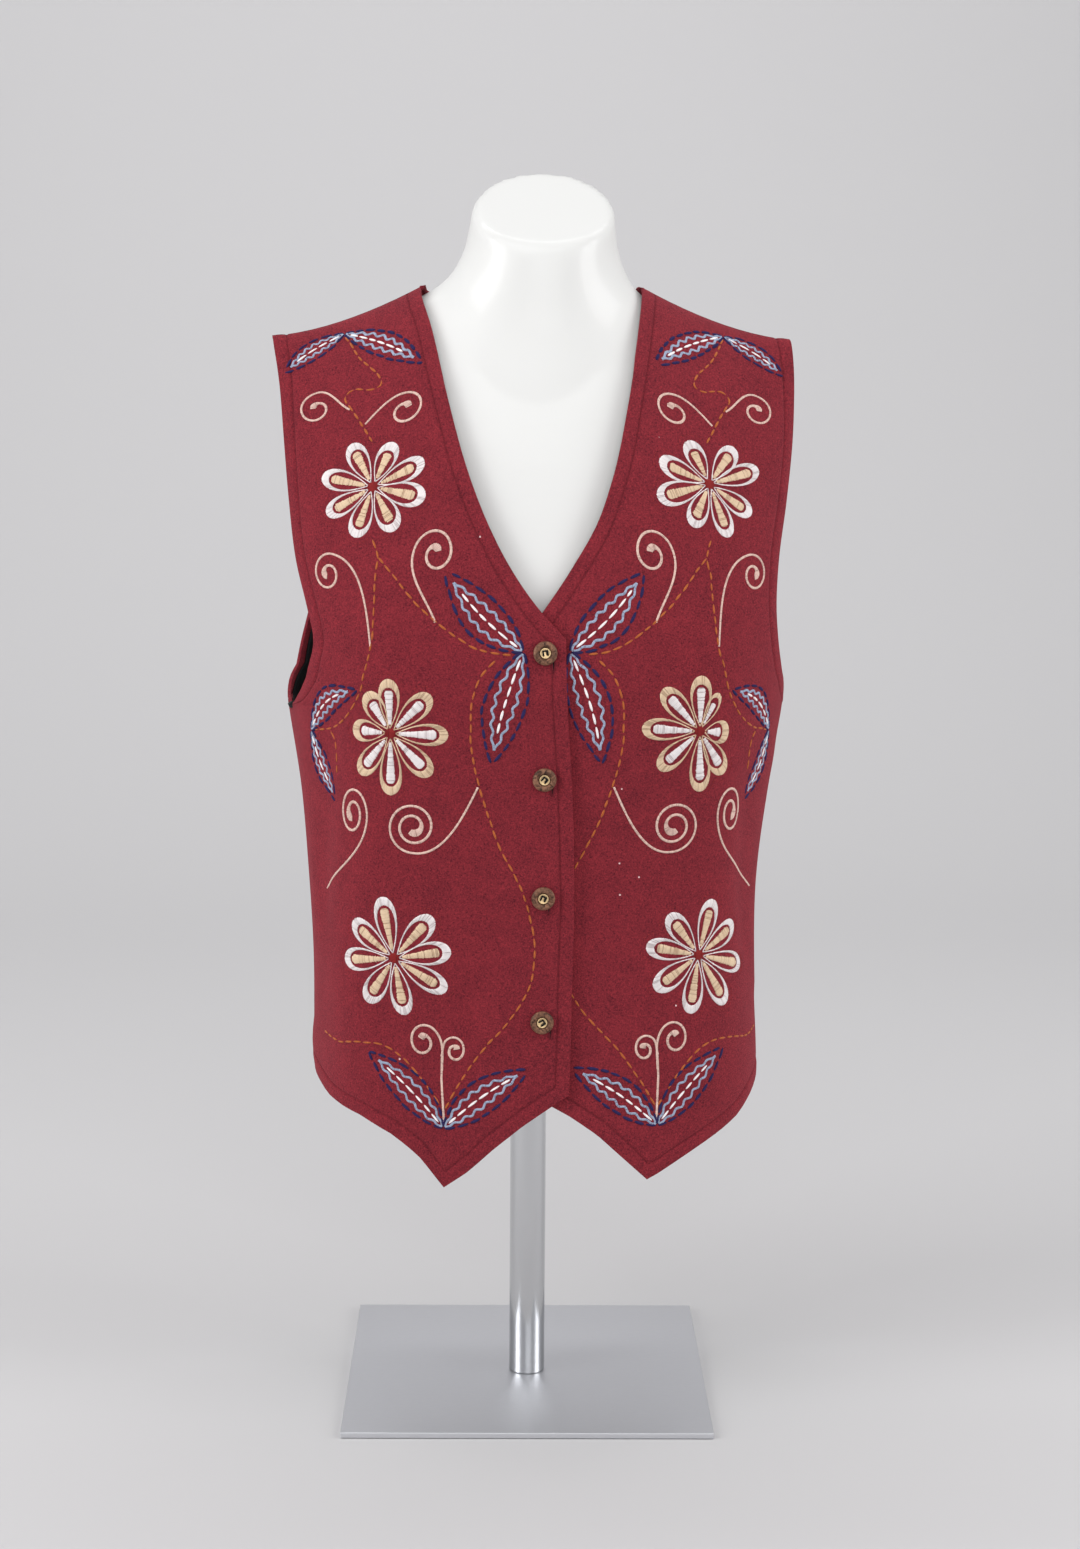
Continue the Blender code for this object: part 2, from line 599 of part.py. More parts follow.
def make_neck():
    """The neck: a flare that follows the shoulders, a straight stretch and a slanted cap."""
    turns = np.linspace(-np.pi, np.pi, NECK_SIDES, endpoint=False)
    rings = []
    for spread, rise in NECK_RINGS:
        x = NECK_X + (NECK_RADIUS + spread) * np.sin(turns)
        y = NECK_Y - (NECK_DEPTH + spread) * np.cos(turns)
        rings.append(np.stack([x, y, form_height(x - SECTIONS[-1].shift, y) + rise], -1))
    for inward, down in ((0, CAP_ROUND), (CAP_ROUND, 0)):
        x = NECK_X + (NECK_RADIUS - inward) * np.sin(turns)
        y = NECK_Y - (NECK_DEPTH - inward) * np.cos(turns)
        rings.append(np.stack([x, y, CAP_Z + (y - NECK_Y) * CAP_SLOPE - down], -1))
    vertices = np.concatenate(rings)
    vertices[:, 0] += (vertices[:, 2] - NECK_BASE) * NECK_LEAN
    faces = [tuple(range(NECK_SIDES))[::-1]]
    for ring in range(len(rings) - 1):
        start = ring * NECK_SIDES
        for side in range(NECK_SIDES):
            after = (side + 1) % NECK_SIDES
            faces.append((start + side, start + after, start + NECK_SIDES + after, start + NECK_SIDES + side))
    last = (len(rings) - 1) * NECK_SIDES
    faces.append(tuple(range(last, last + NECK_SIDES)))
    neck = new_object("neck_guide", vertices, faces, "gloss_white")
    neck.hide_render = True
    neck.display_type = "WIRE"
    return neck


def make_stand():
    """The pole, up to the form's flat base, and the plate that it stands on."""
    low, high = PLATE_HEIGHT + SEAM_GAP, FORM_LEVELS[0] - SEAM_GAP
    turned("pole", ((0, low), (POLE_RADIUS, low), (POLE_RADIUS, high), (0, high)), POLE_SIDES, "steel",
           Matrix.Translation((POLE_X, POLE_Y, 0)))
    mesh = bmesh.new()
    bmesh.ops.create_cube(mesh, size=1)
    bmesh.ops.scale(mesh, vec=(PLATE_SIZE, PLATE_SIZE, PLATE_HEIGHT), verts=mesh.verts)
    bmesh.ops.translate(mesh, vec=(0, 0, PLATE_HEIGHT / 2), verts=mesh.verts)
    bmesh.ops.bevel(mesh, geom=mesh.edges[:], offset=PLATE_BEVEL, segments=1, affect="EDGES")
    place = Matrix.Translation((POLE_X, 0, 0)) @ Matrix.Rotation(STAND_TURN, 4, "Z")
    bmesh.ops.transform(mesh, matrix=place, verts=mesh.verts)
    data = bpy.data.meshes.new("base_plate")
    mesh.to_mesh(data)
    mesh.free()
    data.materials.append(material("steel"))
    bpy.context.scene.collection.objects.link(bpy.data.objects.new("base_plate", data))


def main():
    """Clear the scene and build every piece."""
    for old in list(bpy.data.objects):
        bpy.data.objects.remove(old, do_unlink=True)
    make_cloth()
    make_buttons()
    make_form()
    make_stand()


main()
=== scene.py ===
# %% [markdown]
# # A hand-embroidered wool vest on a dress form
#
# The real object is a burgundy flannel vest with two pointed fronts, shown on a white limbless
# dress form on a steel stand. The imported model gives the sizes. This lesson dresses it: finer
# cloth, real stitches, buttons and finishes.

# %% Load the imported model
import math
import random
from collections import namedtuple

import bpy
import numpy as np
from mathutils import Matrix, Vector


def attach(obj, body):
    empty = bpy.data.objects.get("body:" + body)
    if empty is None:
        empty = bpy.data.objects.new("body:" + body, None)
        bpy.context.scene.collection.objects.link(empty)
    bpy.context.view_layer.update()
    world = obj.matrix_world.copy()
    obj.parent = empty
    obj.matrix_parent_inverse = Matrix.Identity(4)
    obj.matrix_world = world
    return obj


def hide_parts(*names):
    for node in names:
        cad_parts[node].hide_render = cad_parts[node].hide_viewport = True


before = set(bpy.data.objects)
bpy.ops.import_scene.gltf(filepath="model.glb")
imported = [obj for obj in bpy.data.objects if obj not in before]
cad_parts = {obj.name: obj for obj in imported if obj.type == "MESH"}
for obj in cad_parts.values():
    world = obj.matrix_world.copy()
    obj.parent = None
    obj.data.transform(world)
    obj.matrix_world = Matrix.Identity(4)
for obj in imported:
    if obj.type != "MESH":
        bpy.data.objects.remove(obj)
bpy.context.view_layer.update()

MM = 0.001
dice = random.Random(7)

# %% [markdown]
# Cloth, form, stand and buttons start as primitives from `bpy.ops`, whose points are then put in
# their place. These helpers do what repeats: add a grid or a stack of rings, set its points, put a
# modifier on it and apply it. An operator acts on all that is selected, so each one deselects first.

# %% Helpers for shaping
def deselect():
    bpy.ops.object.select_all(action="DESELECT")


def finished(piece, name, material):
    """Name a piece, smooth it and give it its material."""
    piece.name = piece.data.name = name
    piece.data.materials.clear()
    piece.data.materials.append(material)
    piece.data.shade_smooth()
    return piece


def put_points(piece, points):
    """Move all of a mesh's vertices to the given points."""
    piece.data.vertices.foreach_set("co", np.asarray(points, np.float32).ravel())
    piece.data.update()


def points_of(piece):
    """The points of a mesh, one row for each vertex."""
    points = np.empty(3 * len(piece.data.vertices), np.float32)
    piece.data.vertices.foreach_get("co", points)
    return points.reshape(-1, 3)


def applied(piece, kind, **settings):
    """Add a modifier with its settings and apply it."""
    deselect()
    bpy.context.view_layer.objects.active = piece
    piece.select_set(True)
    modifier = piece.modifiers.new(kind.title(), kind)
    for name, value in settings.items():
        setattr(modifier, name, value)
    bpy.ops.object.modifier_apply(modifier=modifier.name)


def sheet_of(points):
    """A grid primitive with its points at rows by columns of places."""
    rows, columns = points.shape[:2]
    deselect()
    bpy.ops.mesh.primitive_grid_add(x_subdivisions=columns - 1, y_subdivisions=rows - 1, size=1)
    piece = bpy.context.object
    put_points(piece, points)
    return piece


def lofted(rings):
    """A circle primitive, extruded once for each ring after the first, with its rings put in place."""
    count, sides = rings.shape[:2]
    deselect()
    bpy.ops.mesh.primitive_circle_add(vertices=sides, radius=1, fill_type="NOTHING")
    piece = bpy.context.object
    bpy.ops.object.mode_set(mode="EDIT")
    bpy.ops.mesh.select_all(action="SELECT")
    for _ in range(count - 1):
        bpy.ops.mesh.extrude_region_move(TRANSFORM_OT_translate={"value": (0, 0, 1)})
    bpy.ops.mesh.edge_face_add()
    bpy.ops.object.mode_set(mode="OBJECT")
    places = points_of(piece)
    ring = np.rint(places[:, 2]).astype(int)
    side = np.rint(np.arctan2(places[:, 1], places[:, 0]) / (2 * np.pi) * sides).astype(int) % sides
    piece.data.vertices.foreach_set("select", ring == 0)
    put_points(piece, rings[ring, side])
    bpy.ops.object.mode_set(mode="EDIT")
    bpy.ops.mesh.select_mode(type="VERT")
    bpy.ops.mesh.edge_face_add()
    bpy.ops.mesh.select_all(action="SELECT")
    bpy.ops.mesh.normals_make_consistent(inside=False)
    bpy.ops.object.mode_set(mode="OBJECT")
    return piece


def circle_of(radius, height, sides, centre=(0, 0)):
    """The points of one level ring."""
    turns = 2 * np.pi * np.arange(sides) / sides
    return np.stack([centre[0] + radius * np.cos(turns), centre[1] + radius * np.sin(turns),
                     np.full(sides, height)], -1)


def triangles(piece):
    """How many triangles a mesh has."""
    return sum(len(face.vertices) - 2 for face in piece.data.polygons)


def run_along(path):
    """The distance run along a path at each of its points."""
    return np.concatenate([[0], np.cumsum(np.linalg.norm(np.diff(path, axis=0), axis=-1))])


def read_at(at, run, values):
    """Rows of values that belong to distances in run, read at other distances."""
    return np.stack([np.interp(at, run, values[:, k]) for k in range(values.shape[1])], -1)


print("a metre square has a diagonal of", round(run_along(np.array([(0, 0), (1, 1)]))[-1], 3), "m")

# %% [markdown]
# ## Camera
#
# The photograph looks slightly down at the vest from just left of its front, through a short
# telephoto lens. The camera's place and angles were found from the corners of the plate, the pole
# and the outline of the cloth.

# %% Camera
LENS, SENSOR_WIDTH = 63.2, 36
CAMERA_PLACE = Vector((-0.1154, -1.8836, 0.7246))
CAMERA_TILT, CAMERA_TURN, CAMERA_ROLL = 81.35, -3.7, 0.4

camera_data = bpy.data.cameras.new("camera")
camera_data.lens, camera_data.sensor_width = LENS, SENSOR_WIDTH
camera = bpy.data.objects.new("camera", camera_data)
bpy.context.scene.collection.objects.link(camera)
turn, tilt, roll = (math.radians(angle) for angle in (CAMERA_TURN, CAMERA_TILT, CAMERA_ROLL))
camera.matrix_world = (Matrix.Translation(CAMERA_PLACE) @ Matrix.Rotation(turn, 4, "Z")
                       @ Matrix.Rotation(tilt, 4, "X") @ Matrix.Rotation(roll, 4, "Z"))
bpy.context.scene.camera = camera
print("camera at", tuple(round(v, 3) for v in CAMERA_PLACE), "with a lens of", LENS, "mm")

# %% [markdown]
# ## Light and backdrop
#
# The photo has the soft light of a studio, with hardly a shadow. One lamp would throw hard ones, so
# wide panels stand above, in front and at each side, and the world is pale all round. A last panel
# brightens the backdrop, a sheet of pale paper that bends up from the floor without a corner.

# %% Colours and plain materials
def srgb(red, green, blue):
    """A colour as given on screen, as the linear values that shaders take."""
    linear = [v / 255 / 12.92 if v <= 10 else ((v / 255 + 0.055) / 1.055) ** 2.4
              for v in (red, green, blue)]
    return (*linear, 1.0)


def plain_material(name, colour, roughness, metallic=0.0):
    """A material with a Principled shader, ready for more nodes."""
    made = bpy.data.materials.new(name)
    made.use_nodes = True
    shader = made.node_tree.nodes["Principled BSDF"]
    shader.inputs["Base Color"].default_value = colour
    shader.inputs["Roughness"].default_value = roughness
    shader.inputs["Metallic"].default_value = metallic
    return made, made.node_tree, shader


print("middle grey on screen is", round(srgb(128, 128, 128)[0], 3), "to a shader")

# %% Lights
Panel = namedtuple("Panel", "name place target size power")
VEST_MIDDLE = (0, 0, 0.45)
PANELS = (
    Panel("light_above", (-0.5, -1.2, 2.6), VEST_MIDDLE, (2.2, 1.4), 14),
    Panel("light_left", (-1.9, -0.9, 1.2), VEST_MIDDLE, (0.9, 1.8), 30),
    Panel("light_right", (1.9, -0.8, 1.2), VEST_MIDDLE, (0.9, 1.8), 25),
    Panel("light_front", (0.4, -3.2, 1.3), VEST_MIDDLE, (2.0, 1.6), 14),
    Panel("light_on_backdrop", (0, 0.9, 3.2), (0, 3.0, 1.4), (3.0, 0.8), 44),
)
WORLD_STRENGTH = 0.50

for panel in PANELS:
    data = bpy.data.lights.new(panel.name, "AREA")
    data.shape, data.size, data.size_y = "RECTANGLE", *panel.size
    data.energy = panel.power
    lamp = bpy.data.objects.new(panel.name, data)
    bpy.context.scene.collection.objects.link(lamp)
    lamp.location = panel.place
    aim = Vector(panel.target) - Vector(panel.place)
    lamp.rotation_euler = aim.to_track_quat("-Z", "Y").to_euler()

world = bpy.data.worlds.new("studio")
world.use_nodes = True
world.node_tree.nodes["Background"].inputs["Color"].default_value = srgb(232, 232, 234)
world.node_tree.nodes["Background"].inputs["Strength"].default_value = WORLD_STRENGTH
bpy.context.scene.world = world
bpy.context.scene.view_settings.view_transform = "Standard"
print(len(PANELS), "panels give", sum(panel.power for panel in PANELS), "watts")

# %% Backdrop
PAPER_SIZE, FLAT_LENGTH, BEND_RADIUS, PAPER_FRONT, PAPER_DROP = 9.0, 5.0, 1.4, -3.4, 0.0005

backdrop_material, _, _ = plain_material("backdrop_paper", srgb(201, 200, 201), 0.95)
deselect()
bpy.ops.mesh.primitive_grid_add(x_subdivisions=8, y_subdivisions=48, size=1)
backdrop = bpy.context.object
paper = points_of(backdrop)
run = (paper[:, 1] + 0.5) * PAPER_SIZE
bend = np.clip((run - FLAT_LENGTH) / BEND_RADIUS, 0, np.pi / 2)
beyond = np.maximum(run - FLAT_LENGTH - BEND_RADIUS * np.pi / 2, 0)
put_points(backdrop, np.stack([
    paper[:, 0] * PAPER_SIZE,
    np.minimum(run, FLAT_LENGTH) + PAPER_FRONT + BEND_RADIUS * np.sin(bend),
    BEND_RADIUS * (1 - np.cos(bend)) + beyond - PAPER_DROP], -1))
finished(backdrop, "backdrop", backdrop_material)
print("the paper starts bending up", FLAT_LENGTH + PAPER_FRONT, "m behind the middle")

# %% [markdown]
# ## The shape of the body
#
# Cloth that hangs on a body could be simulated, but then it would settle a little differently from
# the solid model. So all of it follows one surface, read with two numbers: the turn round the body
# and the level up it. The tables are those of the solid model, but three of its folds are up to
# 1.2 mm deeper and five shallow ones are new. Above the chest the surface leans back to the ridge.

# %% Tables of the torso
WALL, LINING = 2.2 * MM, 1.0 * MM
LAP_CLEARANCE, LAP_MARGIN, LAP_RAMP = 0.9 * MM, 4 * MM, 20 * MM
MIDDLE_Y, CHEST, TOP, RIDGE_Y = 0.018, 0.510, 0.760, -0.003
FRONT_LEAN, BACK_LEAN, SIDE_BLEND = 1.5, 2.6, 0.35
SHOULDER_TIP_X, SHOULDER_TIP_Z, SHOULDER_NECK_X, SHOULDER_NECK_Z = 0.1777, 0.7405, 0.0745, 0.7750
SHOULDER_CURVE, RIDGE_RUN_ON, RIDGE_REACH = 1.6, 1.1, 0.003
SIDE_SEAM, SEAM_PINCH, PINCH_REACH = math.radians(83), 1.6 * MM, math.radians(6)
UNDERARM, V_CORNER, SIDE_HEM = 0.488, 0.5445, 0.2345
FOLD_RADIUS = 0.15

Section = namedtuple("Section", "level half_width front back front_power back_power shift")
SECTIONS = (
    Section(0.150, 0.1584, 0.1300, 0.0870, 2.9, 2.4, 0.0054),
    Section(0.250, 0.1574, 0.1295, 0.0860, 2.9, 2.4, 0.0040),
    Section(0.310, 0.1560, 0.1300, 0.0830, 2.8, 2.4, 0.0024),
    Section(0.370, 0.1582, 0.1325, 0.0810, 2.6, 2.4, 0.0014),
    Section(0.430, 0.1642, 0.1360, 0.0850, 2.5, 2.4, 0.0026),
    Section(0.490, 0.1740, 0.1390, 0.0920, 2.4, 2.4, 0.0034),
    Section(0.532, 0.1788, 0.1390, 0.0950, 2.4, 2.4, 0.0030),
    Section(0.606, 0.1840, 0.1370, 0.0980, 2.4, 2.4, 0.0014),
    Section(0.680, 0.1870, 0.1340, 0.0990, 2.4, 2.4, 0.0004),
    Section(0.760, 0.1880, 0.1340, 0.0990, 2.4, 2.4, -0.0010),
)
Fold = namedtuple("Fold", "turn_low level_low turn_high level_high width height")
FOLDS = (
    Fold(-50, 0.300, -40, 0.560, 0.030, 0.0030),
    Fold(52, 0.300, 44, 0.540, 0.028, 0.0030),
    Fold(-26, 0.255, -13, 0.345, 0.016, -0.0033),
    Fold(-17, 0.275, -11, 0.370, 0.012, 0.0020),
    Fold(22, 0.230, 16, 0.400, 0.022, -0.0030),
    Fold(-66, 0.250, -70, 0.440, 0.020, -0.0016),
    Fold(112, 0.270, 104, 0.450, 0.024, 0.0030),
    Fold(248, 0.270, 256, 0.450, 0.024, 0.0030),
    Fold(152, 0.240, 160, 0.430, 0.026, -0.0024),
    Fold(206, 0.240, 200, 0.410, 0.026, -0.0024),
    Fold(-92, 0.232, -84, 0.250, 0.018, 0.0024),
    Fold(-57, 0.480, -66, 0.350, 0.010, -0.0022),
    Fold(-70, 0.330, -73, 0.450, 0.013, 0.0022),
    Fold(62, 0.330, 58, 0.440, 0.012, -0.0022),
    Fold(70, 0.300, 72, 0.450, 0.014, 0.0014),
    Fold(-36, 0.190, -44, 0.290, 0.016, -0.0016),
)
print("the body is read from", len(SECTIONS), "sections and", len(FOLDS), "folds")

# %% [markdown]
# A section of a body is a squared-off oval, wider than it is deep, with its own depth in front and
# behind. Straight lines from one section to the next would show as creases all round, so the tables
# are read with smooth curves.

# %% Formulas of the torso
def column(rows, name, at):
    """A smooth curve through one column of a table, read at the given levels."""
    keys = np.array([row[0] for row in rows])
    values = np.array([getattr(row, name) for row in rows])
    slopes = np.gradient(values, keys)
    at = np.clip(at, keys[0], keys[-1])
    start = np.clip(np.searchsorted(keys, at) - 1, 0, len(keys) - 2)
    step = keys[start + 1] - keys[start]
    t = (at - keys[start]) / step
    ends = (1 + 2 * t) * (1 - t) ** 2 * values[start] + t * t * (3 - 2 * t) * values[start + 1]
    return ends + t * (1 - t) * step * ((1 - t) * slopes[start] - t * slopes[start + 1])


def shoulder_height(across):
    """Height of the shoulder ridge, lowest at its tip and curving up to the neck."""
    reach = (SHOULDER_TIP_X - np.abs(across)) / (SHOULDER_TIP_X - SHOULDER_NECK_X)
    rise = np.clip(reach, 0, RIDGE_RUN_ON) ** SHOULDER_CURVE
    return SHOULDER_TIP_Z + (SHOULDER_NECK_Z - SHOULDER_TIP_Z) * rise


def relief(turn, level):
    """How far the cloth stands out of the plain torso: its folds and the pull of the side seams."""
    height = np.zeros(np.shape(turn))
    for fold in FOLDS:
        low = np.array([math.radians(fold.turn_low) * FOLD_RADIUS, fold.level_low])
        high = np.array([math.radians(fold.turn_high) * FOLD_RADIUS, fold.level_high])
        run = high - low
        away = np.stack([turn * FOLD_RADIUS, level], -1) - low
        along = np.clip(away @ run / (run @ run), 0, 1)
        distance = np.linalg.norm(away - along[..., None] * run, axis=-1)
        height = height + fold.height * np.exp(-(distance / fold.width) ** 2)
    for seam in (-SIDE_SEAM, SIDE_SEAM, 2 * np.pi - SIDE_SEAM):
        height = height - SEAM_PINCH * np.exp(-((turn - seam) / PINCH_REACH) ** 2)
    return height


def lean_power(across, y):
    """How square the torso turns to the ridge: little in front, more behind, blended at the sides."""
    facing = (y - MIDDLE_Y) / np.hypot(across, y - MIDDLE_Y)
    share = np.clip(0.5 + facing / (2 * SIDE_BLEND), 0, 1)
    return FRONT_LEAN + (BACK_LEAN - FRONT_LEAN) * share * share * (3 - 2 * share)


def lean_back(across, y, level, drop=0.0):
    """Carry a section's point up and back to the shoulder ridge, above the chest."""
    tilt = np.pi / 2 * np.clip((level - CHEST) / (TOP - CHEST), 0, 1)
    power = lean_power(across, y)
    lift = np.sin(tilt) ** (2 / power)
    lean = np.clip(np.cos(tilt), 0, 1) ** (2 / power)
    raised = CHEST + (shoulder_height(across) - drop - CHEST) * lift
    return RIDGE_Y + (y - RIDGE_Y) * lean, np.where(level > CHEST, raised, level)


def section_reach(turn, half_width, depth, power):
    """Distance from the middle of a section to its edge, at a turn."""
    return ((np.abs(np.sin(turn)) / half_width) ** power
            + (np.abs(np.cos(turn)) / depth) ** power) ** (-1 / power)


def section_depth(across, half_width, depth, power):
    """Distance from the middle of a section to its front or back edge, at a distance across."""
    share = np.clip(np.abs(across) / half_width, 0, 1)
    return depth * (1 - share ** power) ** (1 / power)


def torso(turn, level):
    """Points of the cloth's outer face."""
    turn, level = np.broadcast_arrays(np.asarray(turn, float), np.asarray(level, float))
    half_width, front, back, front_power, back_power, shift = (
        column(SECTIONS, name, level) for name in Section._fields[1:])
    ahead = np.cos(turn) > 0
    depth, power = np.where(ahead, front, back), np.where(ahead, front_power, back_power)
    reach = section_reach(turn, half_width, depth, power) + relief(turn, level)
    across = reach * np.sin(turn)
    y, z = lean_back(across, MIDDLE_Y - reach * np.cos(turn), level)
    return np.stack([across + shift, y, z], -1)


def outward(turn, level):
    """Unit normals of the torso surface, straight up along its ridge."""
    turn, level = np.broadcast_arrays(np.asarray(turn, float), np.asarray(level, float))
    step = 2e-4
    round_body = torso(turn + step, level) - torso(turn - step, level)
    up_body = torso(turn, level) - torso(turn, level - step)
    normal = np.cross(round_body, up_body)
    normal = normal / np.linalg.norm(normal, axis=-1, keepdims=True)
    return np.where((level > TOP - RIDGE_REACH)[..., None], [0.0, 0.0, 1.0], normal)


def turn_at(across, level, behind=False):
    """The turn of a point that lies the given distance across from the middle of the body."""
    side = "back" if behind else "front"
    half_width = column(SECTIONS, "half_width", level)
    depth = section_depth(across, half_width, column(SECTIONS, side, level),
                          column(SECTIONS, side + "_power", level))
    turn = np.arctan2(np.minimum(np.abs(across), half_width), depth)
    return np.pi - turn if behind else np.sign(across) * turn


print("the chest is", round(2 * float(torso(math.pi / 2, CHEST)[0]), 3), "m wide")

# %% [markdown]
# ## Cutting the cloth
#
# A tailor cuts two fronts and a back from flat cloth. Cutting shapes out of a whole torso would
# leave ragged faces at the edges. So each panel is a patch between four edges, and its grid lines
# run along them. The edges are read from short tables: how far across they are at each level.

# %% Tables of the edges
Edge = namedtuple("Edge", "level right left")
NECKLINE = (
    Edge(0.5445, -0.0125, -0.0160),
    Edge(0.5565, 0.0028, -0.0030),
    Edge(0.5775, 0.0242, 0.0192),
    Edge(0.5930, 0.0361, 0.0340),
    Edge(0.6120, 0.0473, 0.0457),
    Edge(0.6460, 0.0606, 0.0584),
    Edge(0.6930, 0.0712, 0.0690),
    Edge(0.7290, 0.0768, 0.0738),
    Edge(0.7600, 0.0770, 0.0752),
)
FRONT_EDGE = (
    Edge(0.150, -0.0146, -0.0140),
    Edge(0.238, -0.0160, -0.0144),
    Edge(0.258, -0.0172, -0.0150),
    Edge(0.300, -0.0190, -0.0161),
    Edge(0.370, -0.0213, -0.0186),
    Edge(0.450, -0.0169, -0.0154),
    Edge(0.500, -0.0131, -0.0125),
    Edge(0.545, -0.0125, -0.0160),
    Edge(0.560, -0.0125, -0.0160),
)
ARMHOLE = (
    Edge(0.488, 0.1733, 0.1733),
    Edge(0.492, 0.1690, 0.1722),
    Edge(0.499, 0.1650, 0.1705),
    Edge(0.507, 0.1612, 0.1690),
    Edge(0.525, 0.1572, 0.1652),
    Edge(0.544, 0.1530, 0.1618),
    Edge(0.560, 0.1566, 0.1604),
    Edge(0.585, 0.1639, 0.1628),
    Edge(0.615, 0.1681, 0.1700),
    Edge(0.645, 0.1708, 0.1755),
    Edge(0.680, 0.1732, 0.1780),
    Edge(0.730, 0.1770, 0.1780),
    Edge(0.760, 0.1773, 0.1773),
)
BACK_ARMHOLE = (
    Edge(0.488, 0.1738, 0.1738),
    Edge(0.494, 0.1739, 0.1739),
    Edge(0.501, 0.1728, 0.1728),
    Edge(0.514, 0.1655, 0.1655),
    Edge(0.528, 0.1580, 0.1580),
    Edge(0.548, 0.1575, 0.1575),
    Edge(0.587, 0.1650, 0.1650),
    Edge(0.647, 0.1720, 0.1720),
    Edge(0.760, 0.1773, 0.1773),
)
BACK_NECK_LOW, BACK_NECK_POWER = 0.668, 2.2
Hem = namedtuple("Hem", "across right left")
HEM_TO_POINT = (
    Hem(-0.0160, 0.2358, 0.2392),
    Hem(0.0000, 0.2252, 0.2298),
    Hem(0.0160, 0.2142, 0.2207),
    Hem(0.0349, 0.1991, 0.2079),
    Hem(0.0528, 0.1829, 0.1909),
    Hem(0.0690, 0.1716, 0.1755),
)
HEM_TO_SIDE = (
    Hem(0.0690, 0.1716, 0.1755),
    Hem(0.0776, 0.1820, 0.1797),
    Hem(0.0871, 0.1928, 0.1853),
    Hem(0.1034, 0.2056, 0.1942),
    Hem(0.1242, 0.2161, 0.2047),
    Hem(0.1358, 0.2193, 0.2111),
    Hem(0.1468, 0.2236, 0.2212),
    Hem(0.1600, 0.2345, 0.2345),
)
neck_width = NECKLINE[-1].right + NECKLINE[-1].left
print("the neck is", round(1000 * neck_width, 1), "mm wide at the shoulders")

# %% [markdown]
# A path read straight from its table would have its points where the table has rows. So all but the
# shoulder seam, which is nearly straight, are measured on the torso and divided evenly. Paths that
# meet share their end points.

# %% Paths along the edges
SEAM_TOP = TOP - 0.0002
STEPS, RIDGE_CLOSENESS = 400, 1.7
HALF, POINT_SHARE, SHOULDER_SHARE = 0.5, 7 / 16, 8 / 28


def even_path(turn, level, count):
    """A path on the torso, as count + 1 places at even distances along it."""
    run = run_along(torso(turn, level))
    return read_at(np.linspace(0, run[-1], count + 1), run, np.stack([turn, level], -1))


def edge_path(table, side, low, high, count, behind=False):
    """An edge read from its table, finely near the ridge, and kept on its side of the side seam."""
    share = np.linspace(0, 1, 4 * STEPS)
    level = high - (high - low) * (1 - share) ** RIDGE_CLOSENESS
    turn = turn_at(column(table, side, level), level, behind)
    turn = np.maximum(turn, SIDE_SEAM) if behind else np.minimum(turn, SIDE_SEAM)
    return even_path(turn, level, count)


def side_path(count):
    """The side seam, from the hem to the underarm."""
    return even_path(np.full(STEPS, SIDE_SEAM), np.linspace(SIDE_HEM, UNDERARM, STEPS), count)


def hem_path(rows, side, count):
    """A stretch of the pointed hem."""
    share = np.linspace(0, len(rows) - 1, STEPS)
    across = np.interp(share, range(len(rows)), [row.across for row in rows])
    level = np.interp(share, range(len(rows)), [getattr(row, side) for row in rows])
    return even_path(np.minimum(turn_at(across, level), SIDE_SEAM), level, count)


def shoulder_path(side, count, behind=False):
    """The shoulder seam along the ridge, from neck to tip."""
    across = np.linspace(column(NECKLINE, side, TOP), column(ARMHOLE, side, TOP), count + 1)
    return np.stack([turn_at(across, SEAM_TOP, behind), np.full(count + 1, SEAM_TOP)], -1)


def joined(*paths):
    """Paths laid end to end, each starting where the last one stopped."""
    return np.concatenate([paths[0]] + [path[1:] for path in paths[1:]])


def front_edges(side):
    """The edges of a front: front edge and neckline, side and armhole, hem, and shoulder."""
    half, point = int(STEPS * HALF), int(STEPS * POINT_SHARE)
    inner = joined(edge_path(FRONT_EDGE, side, getattr(HEM_TO_POINT[0], side), V_CORNER, half),
                   edge_path(NECKLINE, side, V_CORNER, SEAM_TOP, half))
    outer = joined(side_path(half), edge_path(ARMHOLE, side, UNDERARM, SEAM_TOP, half))
    bottom = joined(hem_path(HEM_TO_POINT, side, point),
                    hem_path(HEM_TO_SIDE, side, STEPS - point))
    top = shoulder_path(side, STEPS)
    inner[0], inner[-1], outer[0], outer[-1] = bottom[0], top[0], bottom[-1], top[-1]
    return inner, outer, bottom, top


def back_neck_path(count):
    """The back neckline from the shoulder seam to its middle, a quarter of a squared-off oval."""
    around = np.linspace(np.pi / 2, 0, STEPS)
    across = column(NECKLINE, "left", TOP) * np.sin(around) ** (2 / BACK_NECK_POWER)
    depth = np.clip(np.cos(around), 0, 1) ** (2 / BACK_NECK_POWER)
    level = SEAM_TOP - (SEAM_TOP - BACK_NECK_LOW) * depth
    return even_path(turn_at(across, level, behind=True), level, count)


